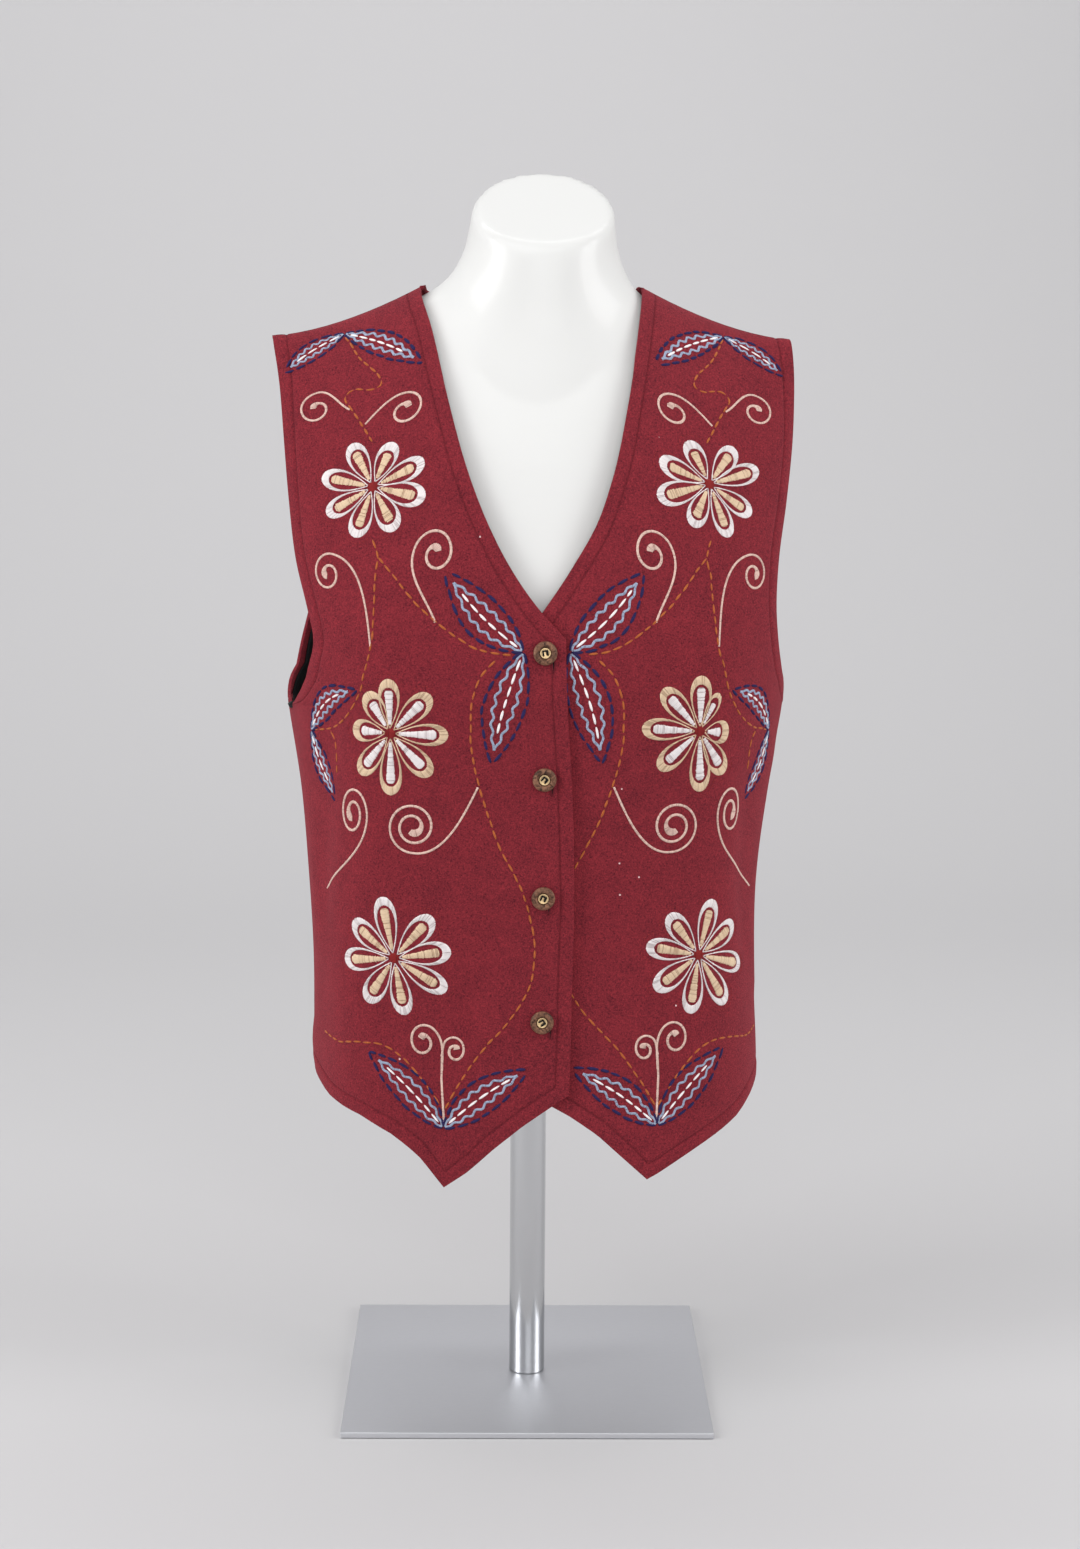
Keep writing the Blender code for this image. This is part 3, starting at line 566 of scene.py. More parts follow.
def back_edges():
    """The four edges of the back: its two sides, the hem, and the shoulders with the neck between."""
    seam = int(round(STEPS * SHOULDER_SHARE))
    shoulder = shoulder_path("left", seam, behind=True)[::-1]
    neck = back_neck_path(STEPS // 2 - seam)
    half_top = joined(shoulder, neck)
    half = int(STEPS * HALF)
    side = joined(side_path(half),
                  edge_path(BACK_ARMHOLE, "left", UNDERARM, SEAM_TOP, half, behind=True))
    side[-1] = half_top[0]
    mirrored, round_back = [-1, 1], [2 * np.pi, 0]
    bottom = np.stack([np.linspace(SIDE_SEAM, 2 * np.pi - SIDE_SEAM, STEPS + 1),
                       np.full(STEPS + 1, SIDE_HEM)], -1)
    top = joined(half_top, (half_top * mirrored + round_back)[::-1])
    return side, side * mirrored + round_back, bottom, top


def patch_at(edges, u, v):
    """Turns and levels inside four edges, at shares u across and v up."""
    shares = np.linspace(0, 1, STEPS + 1)
    left, right, bottom, top = edges
    u2, v2 = u[..., None], v[..., None]
    corners = ((1 - u2) * (1 - v2) * left[0] + u2 * (1 - v2) * right[0]
               + (1 - u2) * v2 * left[-1] + u2 * v2 * right[-1])
    return ((1 - u2) * read_at(v, shares, left) + u2 * read_at(v, shares, right)
            + (1 - v2) * read_at(u, shares, bottom) + v2 * read_at(u, shares, top) - corners)


hem_points = torso(*front_edges("left")[2].T)
print("the left front's hem is", round(run_along(hem_points)[-1], 3), "m long")

# %% [markdown]
# A real edge is turned in and stitched 9.5 mm from its fold, so the cloth is a little full beside
# the fold and pulled down under the stitches. That takes real points, so the grid gets close lines
# beside the edges, and wide ones in the middle, where nothing needs them.

# %% Grid lines
EDGE_STEPS = np.array([0, 0.7, 1.6, 3.0, 5.0, 7.0, 8.2, 8.9, 9.5, 10.1, 10.8, 12.0, 14.0, 17.0]) * MM
SEAM_STEPS = np.array([0, 0.8, 2.0, 4.0, 7.0, 11.0]) * MM
COARSE, FINE, SLANT_REACH, ROUNDS = 41, 161, 6, 3
MOST_SLANT, AVERAGE = 0.3, [0.25, 0.5, 0.25]


def line_shares(curve, start, end, stops, counts, stretch):
    """Shares along a row: lines at true distances by both ends, and even ones between stops."""
    shares = np.linspace(0, 1, curve.shape[0])
    run = run_along(curve)
    first = np.interp(start * stretch[0], run, shares)
    last = np.interp(run[-1] - end[::-1] * stretch[1], run, shares)
    between, marks = [], [first[-1], *stops, last[0]]
    for low, high, count in zip(marks, marks[1:], counts):
        between += list(np.linspace(low, high, count + 1)[1:])
    return np.concatenate([first, between[:-1], last])


def slants(lines, borders, at_end):
    """How much longer a step is along each line than straight in from the border it meets."""
    if at_end:
        ahead = lines[:, -1 - SLANT_REACH] - lines[:, -1]
    else:
        ahead = lines[:, SLANT_REACH] - lines[:, 0]
    beside = np.gradient(borders, axis=0)
    dot = np.abs(np.einsum("ij,ij->i", ahead, beside))
    cosine = dot / np.linalg.norm(ahead, axis=-1) / (np.linalg.norm(beside, axis=-1) + 1e-12)
    stretch = 1 / np.sqrt(np.clip(1 - cosine ** 2, MOST_SLANT, 1))
    return np.convolve(np.pad(stretch, 1, mode="edge"), AVERAGE, mode="valid")


def panel_places(edges, across, up):
    """Turns and levels of a panel's grid. across and up are (start, end, stops, counts)."""
    coarse, fine = np.linspace(0, 1, COARSE), np.linspace(0, 1, FINE)
    rows = torso(*np.moveaxis(patch_at(edges, *np.meshgrid(fine, coarse)), -1, 0))
    columns = torso(*np.moveaxis(patch_at(edges, *np.meshgrid(coarse, fine)), -1, 0))
    tables = []
    for lines, spacing in ((rows, across), (columns.swapaxes(0, 1), up)):
        both = slants(lines, lines[:, 0], False), slants(lines, lines[:, -1], True)
        tables.append(np.array([line_shares(lines[i], *spacing, [ends[i] for ends in both])
                                for i in range(COARSE)]))
    u_table, v_table = tables
    v = np.repeat(v_table[COARSE // 2][:, None], u_table.shape[1], axis=1)
    u = np.zeros_like(v)
    for _ in range(ROUNDS):
        for k in range(u.shape[1]):
            u[:, k] = np.interp(v[:, k], coarse, u_table[:, k])
        for j in range(v.shape[0]):
            v[j] = np.interp(u[j], coarse, v_table[:, j])
    return patch_at(edges, u, v)


print("beside an edge, grid lines lie at", (EDGE_STEPS / MM).round(1), "mm")

# %% [markdown]
# The grooves and the fullness beside them are soft marks across the close lines. A groove stops
# where it meets the one of the next edge, as real stitching does at a corner.

# %% Relief of stitches and seams
STITCH_LINE, GROOVE_WIDTH, GROOVE_DEPTH, GROOVE_FADE = 9.5 * MM, 0.9 * MM, 0.65 * MM, 0.4 * MM
PUFF_HEIGHT, PUFF_PLACE, PUFF_WIDTH = 0.35 * MM, 4.6 * MM, 3.0 * MM
SEAM_DIP, SEAM_WIDTH, RIDGE_DIP = 0.9 * MM, 1.5 * MM, 0.35 * MM


def near_line(distances, line, width):
    """A soft mark, 1 on a line and fading to 0 beside it."""
    return np.exp(-((distances - line) / width) ** 2)


def stitched_relief(rows, columns, stitched_columns, seamed_columns, top_seam):
    """Rise of the cloth's face by its stitched edges and seams, for each grid place.

    Each stitched or seamed border is (at the last column, first row, last row). The hem is always
    stitched, and top_seam is the first and last column of the shoulder seam."""
    across, up = np.ones(columns), np.ones(rows)
    across[:len(EDGE_STEPS)], up[:len(EDGE_STEPS)] = EDGE_STEPS, EDGE_STEPS
    nearest = np.minimum(across, across[::-1])
    inside_across = 1 / (1 + np.exp(-(nearest - STITCH_LINE) / GROOVE_FADE))
    inside_up = 1 / (1 + np.exp(-(up - STITCH_LINE) / GROOVE_FADE))
    height = np.outer(PUFF_HEIGHT * near_line(up, PUFF_PLACE, PUFF_WIDTH), np.ones(columns))
    height -= np.outer(GROOVE_DEPTH * near_line(up, STITCH_LINE, GROOVE_WIDTH), inside_across)
    for at_last, low, high in stitched_columns:
        border = across[::-1] if at_last else across
        height[low:high] += PUFF_HEIGHT * near_line(border, PUFF_PLACE, PUFF_WIDTH)
        groove = GROOVE_DEPTH * near_line(border, STITCH_LINE, GROOVE_WIDTH)
        height[low:high] -= np.outer(inside_up[low:high], groove)
    for at_last, low, high in seamed_columns:
        border = across[::-1] if at_last else across
        height[low:high] -= SEAM_DIP * near_line(border, 0, SEAM_WIDTH)
    low, high = top_seam
    down = np.ones(rows)
    down[-len(SEAM_STEPS):] = SEAM_STEPS[::-1]
    height[:, low:high] -= RIDGE_DIP * near_line(down, 0, SEAM_WIDTH)[:, None]
    return height


def under_lap(turn, level):
    """How far the under front is set back where the other front laps over it."""
    lap_edge = -column(FRONT_EDGE, "right", level)
    reach = section_reach(turn, *(column(SECTIONS, name, level)
                                  for name in ("half_width", "front", "front_power")))
    past = np.clip((reach * np.sin(turn) - lap_edge - LAP_MARGIN) / LAP_RAMP, 0, 1)
    return (WALL + LAP_CLEARANCE) * (1 - past * past * (3 - 2 * past))


print("the left front lies", round(1000 * float(under_lap(0.0, CHEST)), 2), "mm lower under the lap")

# %% [markdown]
# ## Wool and lining
#
# Flannel is a soft nap over a weave, so it has almost no gloss, a faint bright rim where it turns
# away (sheen), a fine mottle of lighter and darker fibres and a few specks of lint. The nap is a
# node group, because wool, lining, threads and horn all use it at their own scale.

# %% Nap node group
WIDE_SCALE, WIDE_SHARE, NAP_RANGE, NAP_RELIEF = 0.06, 0.12, (0.36, 0.64), 0.0006


def node(tree, kind, **settings):
    """Add a node with its settings."""
    made = tree.nodes.new(kind)
    for name, value in settings.items():
        if name in made.inputs:
            made.inputs[name].default_value = value
        else:
            setattr(made, name, value)
    return made


def wire(tree, *links):
    """Link nodes. Each link is (node, its output, next node, its input)."""
    for source, output, target, into in links:
        tree.links.new(source.outputs[output], target.inputs[into])


def make_nap():
    """Fibres at two sizes: a shade to colour with and a height to bump with."""
    tree = bpy.data.node_groups.new("nap", "ShaderNodeTree")
    for name, kind in (("Vector", "NodeSocketVector"), ("Scale", "NodeSocketFloat")):
        tree.interface.new_socket(name, in_out="INPUT", socket_type=kind)
    for name in ("Shade", "Height"):
        tree.interface.new_socket(name, in_out="OUTPUT", socket_type="NodeSocketFloat")
    start, end = node(tree, "NodeGroupInput"), node(tree, "NodeGroupOutput")
    coarse = node(tree, "ShaderNodeMath", operation="MULTIPLY")
    coarse.inputs[1].default_value = WIDE_SCALE
    fine_noise = node(tree, "ShaderNodeTexNoise", Detail=3.0, Roughness=0.65, Distortion=0.8)
    wide_noise = node(tree, "ShaderNodeTexNoise", Detail=2.0, Roughness=0.5)
    mixed = node(tree, "ShaderNodeMix", data_type="FLOAT", Factor=WIDE_SHARE)
    spread = node(tree, "ShaderNodeMapRange")
    spread.inputs["From Min"].default_value, spread.inputs["From Max"].default_value = NAP_RANGE
    wire(tree, (start, "Scale", coarse, 0), (start, "Vector", fine_noise, "Vector"),
         (start, "Vector", wide_noise, "Vector"), (start, "Scale", fine_noise, "Scale"),
         (coarse, 0, wide_noise, "Scale"), (fine_noise, "Fac", mixed, 2),
         (wide_noise, "Fac", mixed, 3), (mixed, 0, spread, "Value"),
         (spread, "Result", end, "Shade"), (fine_noise, "Fac", end, "Height"))
    return tree


NAP = make_nap()
print("the nap group has", len(NAP.nodes), "nodes")

# %% Cloth materials
# The last value is how strongly painted shade darkens the wool in the stitched groove.
LINT_CELLS, LINT_REACH, LINT_SHARE, GROOVE_PAINTED_SHADE = 75.0, 0.05, 0.93, 0.24


def napped(name, dark, light, scale, bump, roughness, sheen=0.0, sheen_tint=(1, 1, 1, 1)):
    """A fibrous cloth or thread material between two colours."""
    made, tree, shader = plain_material(name, light, roughness)
    place = node(tree, "ShaderNodeTexCoord")
    nap = node(tree, "ShaderNodeGroup")
    nap.node_tree = NAP
    nap.inputs["Scale"].default_value = scale
    blend = node(tree, "ShaderNodeMix", data_type="RGBA")
    blend.inputs[6].default_value, blend.inputs[7].default_value = dark, light
    raised = node(tree, "ShaderNodeBump", Strength=bump, Distance=NAP_RELIEF)
    wire(tree, (place, "Object", nap, "Vector"), (nap, "Shade", blend, "Factor"),
         (blend, 2, shader, "Base Color"), (nap, "Height", raised, "Height"),
         (raised, "Normal", shader, "Normal"))
    shader.inputs["Specular IOR Level"].default_value = 0.15
    shader.inputs["Sheen Weight"].default_value = sheen
    shader.inputs["Sheen Roughness"].default_value = 0.5
    shader.inputs["Sheen Tint"].default_value = sheen_tint
    return made, tree, shader, blend


wool, wool_tree, wool_shader, wool_blend = napped(
    "wool_flannel", srgb(84, 23, 34), srgb(147, 46, 55), 1000, 0.8, 0.95, 0.32, srgb(232, 120, 130))
lining, _, _, _ = napped("black_lining", srgb(14, 14, 15), srgb(34, 33, 35), 1500, 0.2, 0.6)


def add_lint(tree, shader, blend):
    """Sparse pale specks of lint on the wool, and painted shade: a darker line in the stitched groove.
    """
    place = node(tree, "ShaderNodeTexCoord")
    cells = node(tree, "ShaderNodeTexVoronoi", Scale=LINT_CELLS)
    apart = node(tree, "ShaderNodeSeparateColor")
    groove = node(tree, "ShaderNodeAttribute", attribute_name="groove")
    near = node(tree, "ShaderNodeMath", operation="LESS_THAN")
    chosen = node(tree, "ShaderNodeMath", operation="GREATER_THAN")
    both = node(tree, "ShaderNodeMath", operation="MULTIPLY")
    depth = node(tree, "ShaderNodeMath", operation="MULTIPLY")
    for limit, value in ((near, LINT_REACH), (chosen, LINT_SHARE), (depth, GROOVE_PAINTED_SHADE)):
        limit.inputs[1].default_value = value
    speckled = node(tree, "ShaderNodeMix", data_type="RGBA")
    speckled.inputs[7].default_value = srgb(226, 196, 196)
    painted_shade_mix = node(tree, "ShaderNodeMix", data_type="RGBA")
    # The colour of the painted shade in the groove.
    painted_shade_mix.inputs[7].default_value = srgb(58, 14, 24)
    wire(tree, (place, "Object", cells, "Vector"), (cells, "Distance", near, 0),
         (cells, "Color", apart, "Color"), (apart, "Red", chosen, 0), (near, 0, both, 0),
         (chosen, 0, both, 1), (both, 0, speckled, "Factor"), (blend, 2, speckled, 6),
         (groove, "Fac", depth, 0), (depth, 0, painted_shade_mix, "Factor"), (speckled, 2, painted_shade_mix, 6),
         (painted_shade_mix, 2, shader, "Base Color"))


add_lint(wool_tree, wool_shader, wool_blend)
print("the wool's material has", len(wool_tree.nodes), "nodes")

# %% [markdown]
# ## The cloth panels
#
# Each panel is a grid primitive whose points lie on the torso. Solidify gives it the thickness of
# the wool, with the black lining on the inner face of the fronts, and a small bevel rounds the
# folded edge. A seam is where two panels share an edge, each with a dip beside it.

# %% Fronts
RIDGE_ROOM, RIDGE_PRESS = 0.4 * MM, 0.8
FOLD_ROUND, SHARP = 0.0007, math.radians(55)


def cloth_panel(name, places, rise, setback, node_name, inner_face):
    """A panel of wool and its inner face, from the turns and levels of its grid.

    What stands above the shoulder ridge, at its corners, is pressed down to it."""
    turn, level = places[..., 0], places[..., 1]
    points = torso(turn, level) + outward(turn, level) * (rise - setback)[..., None]
    piece = sheet_of(points)
    finished(piece, name, wool)
    piece.data.materials.append(inner_face)
    # The wool's material also reads this groove mask and paints shade along the groove.
    mark = piece.data.attributes.new("groove", "FLOAT", "POINT")
    mark.data.foreach_set("value", np.clip(-rise / GROOVE_DEPTH, 0, 1).astype(np.float32).ravel())
    applied(piece, "SOLIDIFY", thickness=WALL, offset=-1, material_offset=1, use_rim=True)
    applied(piece, "BEVEL", width=FOLD_ROUND, segments=2, limit_method="ANGLE", angle_limit=SHARP)
    points = points_of(piece)
    past = points[:, 2] - shoulder_height(points[:, 0] - SECTIONS[-1].shift) - RIDGE_ROOM
    points[:, 2] -= RIDGE_PRESS * np.clip(past, 0, None)
    put_points(piece, points)
    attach(piece, "root")
    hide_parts(node_name)
    print(name, "has", triangles(piece), "triangles")
    return piece


FRONT_ACROSS = (EDGE_STEPS, EDGE_STEPS, [POINT_SHARE], [14, 18])
FRONT_UP = (EDGE_STEPS, SEAM_STEPS, [HALF], [40, 46])
corner_row = len(EDGE_STEPS) + FRONT_UP[3][0] - 1


def make_front(side):
    """One front, seen from the edge it closes on."""
    places = panel_places(front_edges(side), FRONT_ACROSS, FRONT_UP)
    rows, columns = places.shape[:2]
    rise = stitched_relief(rows, columns, [(False, 0, rows), (True, corner_row, rows)],
                           [(True, 0, corner_row)], (0, columns))
    if side == "right":
        places, rise = places[:, ::-1] * [-1, 1], rise[:, ::-1]
        setback = np.zeros(rise.shape)
    else:
        setback = under_lap(places[..., 0], places[..., 1])
    piece = cloth_panel(f"vest_front_{side}", places, rise, setback, f"front_{side}", lining)
    return piece, places, rise, setback


front_right, right_places, right_rise, _ = make_front("right")
front_left, left_places, left_rise, left_setback = make_front("left")

# %% [markdown]
# The back is one piece from side seam to side seam. Its row of close lines at the top serves the
# neckline between the shoulders. Inside it the black lining stops at the shoulder blades.

# %% Back and lining
BACK_ACROSS = (EDGE_STEPS, EDGE_STEPS, [SHOULDER_SHARE, HALF, 1 - SHOULDER_SHARE], [9, 22, 22, 9])
BACK_UP = (EDGE_STEPS, EDGE_STEPS, [HALF], [40, 46])
LINING_GAP, LINING_BORDER, LINING_TOP = 0.3 * MM, 4, 24

back_places = panel_places(back_edges(), BACK_ACROSS, BACK_UP)
back_rows, back_columns = back_places.shape[:2]
armholes = [(at_last, corner_row, back_rows) for at_last in (False, True)]
side_seams = [(at_last, 0, corner_row) for at_last in (False, True)]
back_rise = stitched_relief(back_rows, back_columns, armholes, side_seams, (0, 0))
neck_low = len(EDGE_STEPS) + BACK_ACROSS[3][0]
neck_high = back_columns - neck_low
from_neck = np.ones(back_rows)
from_neck[-len(EDGE_STEPS):] = EDGE_STEPS[::-1]
neck_relief = (PUFF_HEIGHT * near_line(from_neck, PUFF_PLACE, PUFF_WIDTH)
               - GROOVE_DEPTH * near_line(from_neck, STITCH_LINE, GROOVE_WIDTH))
back_rise[:, neck_low:neck_high] += neck_relief[:, None]
back = cloth_panel("vest_back", back_places, back_rise, np.zeros(back_rise.shape), "back", wool)

lining_places = back_places[LINING_BORDER:-LINING_TOP, LINING_BORDER:-LINING_BORDER]
turn, level = lining_places[..., 0], lining_places[..., 1]
lining_back = sheet_of(torso(turn, level) - outward(turn, level) * (WALL + LINING_GAP))
finished(lining_back, "vest_lining_back", lining)
applied(lining_back, "SOLIDIFY", thickness=LINING, offset=-1)
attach(lining_back, "root")
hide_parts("lining_back")
print("the lining has", triangles(lining_back), "triangles")

# %% [markdown]
# Soft cloth is also measured flat, as it would be cut, and its sizes are printed. The panels were
# laid out by true distances, so their sizes are read off the rows and columns of their grids.

# %% Flat sizes of the cloth
def cloth_area(places):
    """The flat area of a panel and its greatest width and length."""
    points = torso(places[..., 0], places[..., 1])
    across = points[:-1, 1:] - points[:-1, :-1]
    up = points[1:, :-1] - points[:-1, :-1]
    area = np.linalg.norm(np.cross(across, up), axis=-1).sum()
    width = np.linalg.norm(np.diff(points, axis=1), axis=-1).sum(axis=1).max()
    length = np.linalg.norm(np.diff(points, axis=0), axis=-1).sum(axis=0).max()
    return float(area), float(width), float(length)


for piece, places in ((front_right, right_places), (front_left, left_places), (back, back_places),
                      (lining_back, lining_places)):
    area, width, length = cloth_area(places)
    print(piece.name, "is cut", round(width, 3), "by", round(length, 3), "m,",
          round(area, 4), "square metres")

# %% [markdown]
# ## The dress form and its stand
#
# The form is a moulded shell, so it has no edges: torso and neck run into each other. Both are
# lofted from rings, united, remeshed into even small faces and smoothed. Smoothing shrinks a mesh,
# so it is then drawn back to the united shape, smoothed lightly, and more at the base of the neck.

# %% Tables of the form
FormSection = namedtuple("FormSection", "level half_width front back")
FORM_SECTIONS = (
    FormSection(0.2700, 0.1340, 0.1080, 0.0640),
    FormSection(0.2760, 0.1430, 0.1160, 0.0720),
    FormSection(0.2900, 0.1470, 0.1190, 0.0745),
    FormSection(0.3700, 0.1480, 0.1210, 0.0700),
    FormSection(0.4300, 0.1520, 0.1250, 0.0740),
    FormSection(0.4900, 0.1570, 0.1280, 0.0810),
    FormSection(0.5320, 0.1540, 0.1285, 0.0840),
    FormSection(0.6060, 0.1530, 0.1270, 0.0870),
    FormSection(0.6800, 0.1590, 0.1250, 0.0890),
    FormSection(0.7200, 0.1610, 0.1250, 0.0900),
    FormSection(0.7450, 0.1580, 0.1250, 0.0900),
    FormSection(0.7600, 0.1500, 0.1250, 0.0900),
)
FORM_LEVELS = (0.2700, 0.2725, 0.2760, 0.2820, 0.2900, 0.3200, 0.3500, 0.3800, 0.4100, 0.4400,
               0.4700, 0.5000, 0.5300, 0.5600, 0.5900, 0.6200, 0.6500, 0.6800, 0.7050, 0.7250,
               0.7400, 0.7510, 0.7570)
FORM_POWER, FORM_SIDES, FORM_RINGS, SEAT_DROP = 2.3, 96, 67, 4.9 * MM
NECK_RADIUS, NECK_DEPTH, NECK_SIDES = 48.5 * MM, 48 * MM, 72
NECK_X, NECK_Y, NECK_BASE, NECK_LEAN = 3.5 * MM, 4 * MM, 0.774, 0.06
CAP_Z, CAP_SLOPE, CAP_ROUND = 0.827, 0.60, 2.5 * MM
FORM_GRAIN, BLEND_Z, BLEND_REACH, BLEND_HALF_WIDTH = 0.0032, NECK_BASE - 0.012, 0.045, 0.11
NeckRing = namedtuple("NeckRing", "spread rise")
NECK_RINGS = (
    NeckRing(0.022, -0.012),
    NeckRing(0.019, -0.002),
    NeckRing(0.014, 0.006),
    NeckRing(0.008, 0.015),
    NeckRing(0.003, 0.028),
)
print("the form is lofted from", FORM_RINGS, "rings, and its neck starts at", NECK_BASE, "m")

# %% Dress form

def form_point(turn, level):
    """Points of the form's torso: narrower than the cloth and just under its shoulders."""
    half_width = column(FORM_SECTIONS, "half_width", level)
    depth = np.where(np.cos(turn) > 0, column(FORM_SECTIONS, "front", level),
                     column(FORM_SECTIONS, "back", level))
    reach = section_reach(turn, half_width, depth, FORM_POWER)
    across = reach * np.sin(turn)
    y, z = lean_back(across, MIDDLE_Y - reach * np.cos(turn), level, SEAT_DROP)
    return np.stack([across + column(SECTIONS, "shift", level), y, z], -1)


def form_height(across, y):
    """Height of the form's shoulders over a place near the neck."""
    top = FORM_SECTIONS[-3]
    depth = np.where(y < RIDGE_Y, -section_depth(across, top.half_width, top.front, FORM_POWER),
                     section_depth(across, top.half_width, top.back, FORM_POWER))
    lean = np.clip((y - RIDGE_Y) / (MIDDLE_Y + depth - RIDGE_Y), 0, 1)
    power = lean_power(across, MIDDLE_Y + depth)
    tilt = np.arccos(lean ** (power / 2))
    return CHEST + (shoulder_height(across) - SEAT_DROP - CHEST) * np.sin(tilt) ** (2 / power)


def make_form():
    """The torso and the neck, united and smoothed into one moulded body."""
    turns = 2 * np.pi * np.arange(FORM_SIDES) / FORM_SIDES
    places = np.linspace(0, len(FORM_LEVELS) - 1, FORM_RINGS)
    levels = np.interp(places, range(len(FORM_LEVELS)), FORM_LEVELS)
    body = lofted(form_point(turns[None, :], levels[:, None]))
    turns = 2 * np.pi * np.arange(NECK_SIDES) / NECK_SIDES
    rings = []
    for spread, rise in NECK_RINGS:
        x = NECK_X + (NECK_RADIUS + spread) * np.sin(turns)
        y = NECK_Y - (NECK_DEPTH + spread) * np.cos(turns)
        rings.append(np.stack([x, y, form_height(x - SECTIONS[-1].shift, y) + rise], -1))
    for inward, down in ((0, CAP_ROUND), (CAP_ROUND, 0)):
        x = NECK_X + (NECK_RADIUS - inward) * np.sin(turns)
        y = NECK_Y - (NECK_DEPTH - inward) * np.cos(turns)
        rings.append(np.stack([x, y, CAP_Z + (y - NECK_Y) * CAP_SLOPE - down], -1))
    rings = np.array(rings)
    rings[..., 0] += (rings[..., 2] - NECK_BASE) * NECK_LEAN
    neck = lofted(rings)
    applied(body, "BOOLEAN", operation="UNION", object=neck, solver="EXACT")
    bpy.data.objects.remove(neck, do_unlink=True)
    moulded = bpy.data.objects.new("moulded_body", body.data.copy())
    bpy.context.scene.collection.objects.link(moulded)
    applied(body, "REMESH", mode="VOXEL", voxel_size=FORM_GRAIN)
    applied(body, "SMOOTH", factor=0.5, iterations=10)
    applied(body, "SHRINKWRAP", target=moulded, wrap_method="NEAREST_SURFACEPOINT")
    bpy.data.objects.remove(moulded, do_unlink=True)
    applied(body, "SMOOTH", factor=0.5, iterations=2)
    blend = body.vertex_groups.new(name="neck_base")
    for vertex in body.data.vertices:
        near = 1 - abs(vertex.co.z - BLEND_Z) / BLEND_REACH
        if near > 0 and abs(vertex.co.x) < BLEND_HALF_WIDTH:
            blend.add([vertex.index], min(1, 2 * near), "REPLACE")
    applied(body, "SMOOTH", factor=0.7, iterations=90, vertex_group="neck_base")
    return body


gloss_white, _, gloss_shader = plain_material("gloss_white", srgb(222, 222, 220), 0.42)
gloss_shader.inputs["Coat Weight"].default_value = 0.2
gloss_shader.inputs["Coat Roughness"].default_value = 0.08
form = finished(make_form(), "moulded_form", gloss_white)
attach(form, "root")
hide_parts("dress_form")

# %% [markdown]
# The pole is drawn steel tube, bright along its length, and the plate is rolled steel with faint
# scratches. Both have a small bevel, because a perfectly sharp edge catches no light.

# %% Steel
GRAIN_SCALE, GRAIN_RELIEF, GRAIN_SPREAD = 60.0, 0.0002, (0.75, 1.3)


def steel_material(name, colour, roughness, grain_scale, bump):
    """Brushed steel: fine scratches, long in one direction, in roughness and bump."""
    made, tree, shader = plain_material(name, colour, roughness, 1.0)
    place = node(tree, "ShaderNodeTexCoord")
    stretch = node(tree, "ShaderNodeMapping")
    stretch.inputs["Scale"].default_value = grain_scale
    grain = node(tree, "ShaderNodeTexNoise", Scale=GRAIN_SCALE, Detail=4.0, Roughness=0.7)
    rough = node(tree, "ShaderNodeMapRange")
    for limit, share in zip(("To Min", "To Max"), GRAIN_SPREAD):
        rough.inputs[limit].default_value = roughness * share
    raised = node(tree, "ShaderNodeBump", Strength=bump, Distance=GRAIN_RELIEF)
    wire(tree, (place, "Object", stretch, "Vector"), (stretch, "Vector", grain, "Vector"),
         (grain, "Fac", rough, "Value"), (rough, "Result", shader, "Roughness"),
         (grain, "Fac", raised, "Height"), (raised, "Normal", shader, "Normal"))
    return made


pole_steel = steel_material("drawn_steel", srgb(204, 205, 207), 0.13, (30, 30, 1), 0.15)
plate_steel = steel_material("rolled_steel", srgb(214, 215, 219), 0.45, (3, 12, 3), 0.3)
print("steel finishes:", pole_steel.name, "and", plate_steel.name)

# %% Pole and plate
POLE_PLACE, POLE_RADIUS, POLE_SIDES = (-0.7 * MM, -6 * MM), 12.7 * MM, 96
POLE_TOP, POLE_EDGE = 0.2697, 0.3 * MM
PLATE_SIZE, PLATE_HEIGHT, PLATE_TURN, PLATE_EDGE = 254 * MM, 4 * MM, math.radians(-3), 0.0006

foot = PLATE_HEIGHT + POLE_EDGE
pole_rings = ((POLE_EDGE, foot), (0, foot + POLE_EDGE), (0, POLE_TOP - POLE_EDGE), (POLE_EDGE, POLE_TOP))
pole = lofted(np.array([circle_of(POLE_RADIUS - inset, z, POLE_SIDES, POLE_PLACE)
                        for inset, z in pole_rings]))
finished(pole, "pole_tube", pole_steel)
applied(pole, "EDGE_SPLIT", split_angle=math.radians(30))
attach(pole, "root")
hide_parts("pole")

deselect()
bpy.ops.mesh.primitive_cube_add(size=1)
plate = bpy.context.object
bpy.ops.transform.resize(value=(PLATE_SIZE, PLATE_SIZE, PLATE_HEIGHT))
bpy.ops.object.transform_apply(location=False, rotation=False, scale=True)
applied(plate, "BEVEL", width=PLATE_EDGE, segments=3)
plate.data.transform(Matrix.Translation((POLE_PLACE[0], 0, PLATE_HEIGHT / 2))
                     @ Matrix.Rotation(PLATE_TURN, 4, "Z"))
finished(plate, "floor_plate", plate_steel)
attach(plate, "root")
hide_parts("base_plate")
print("the pole is", round(POLE_TOP - foot, 3), "m long on a plate", PLATE_SIZE, "m square")

# %% [markdown]
# ## Buttons
#
# Each button is a turned ring of brown horn with a small nick, round a sunk brass middle with four
# holes and black thread. One is made and then copied to its place on the lapping front.

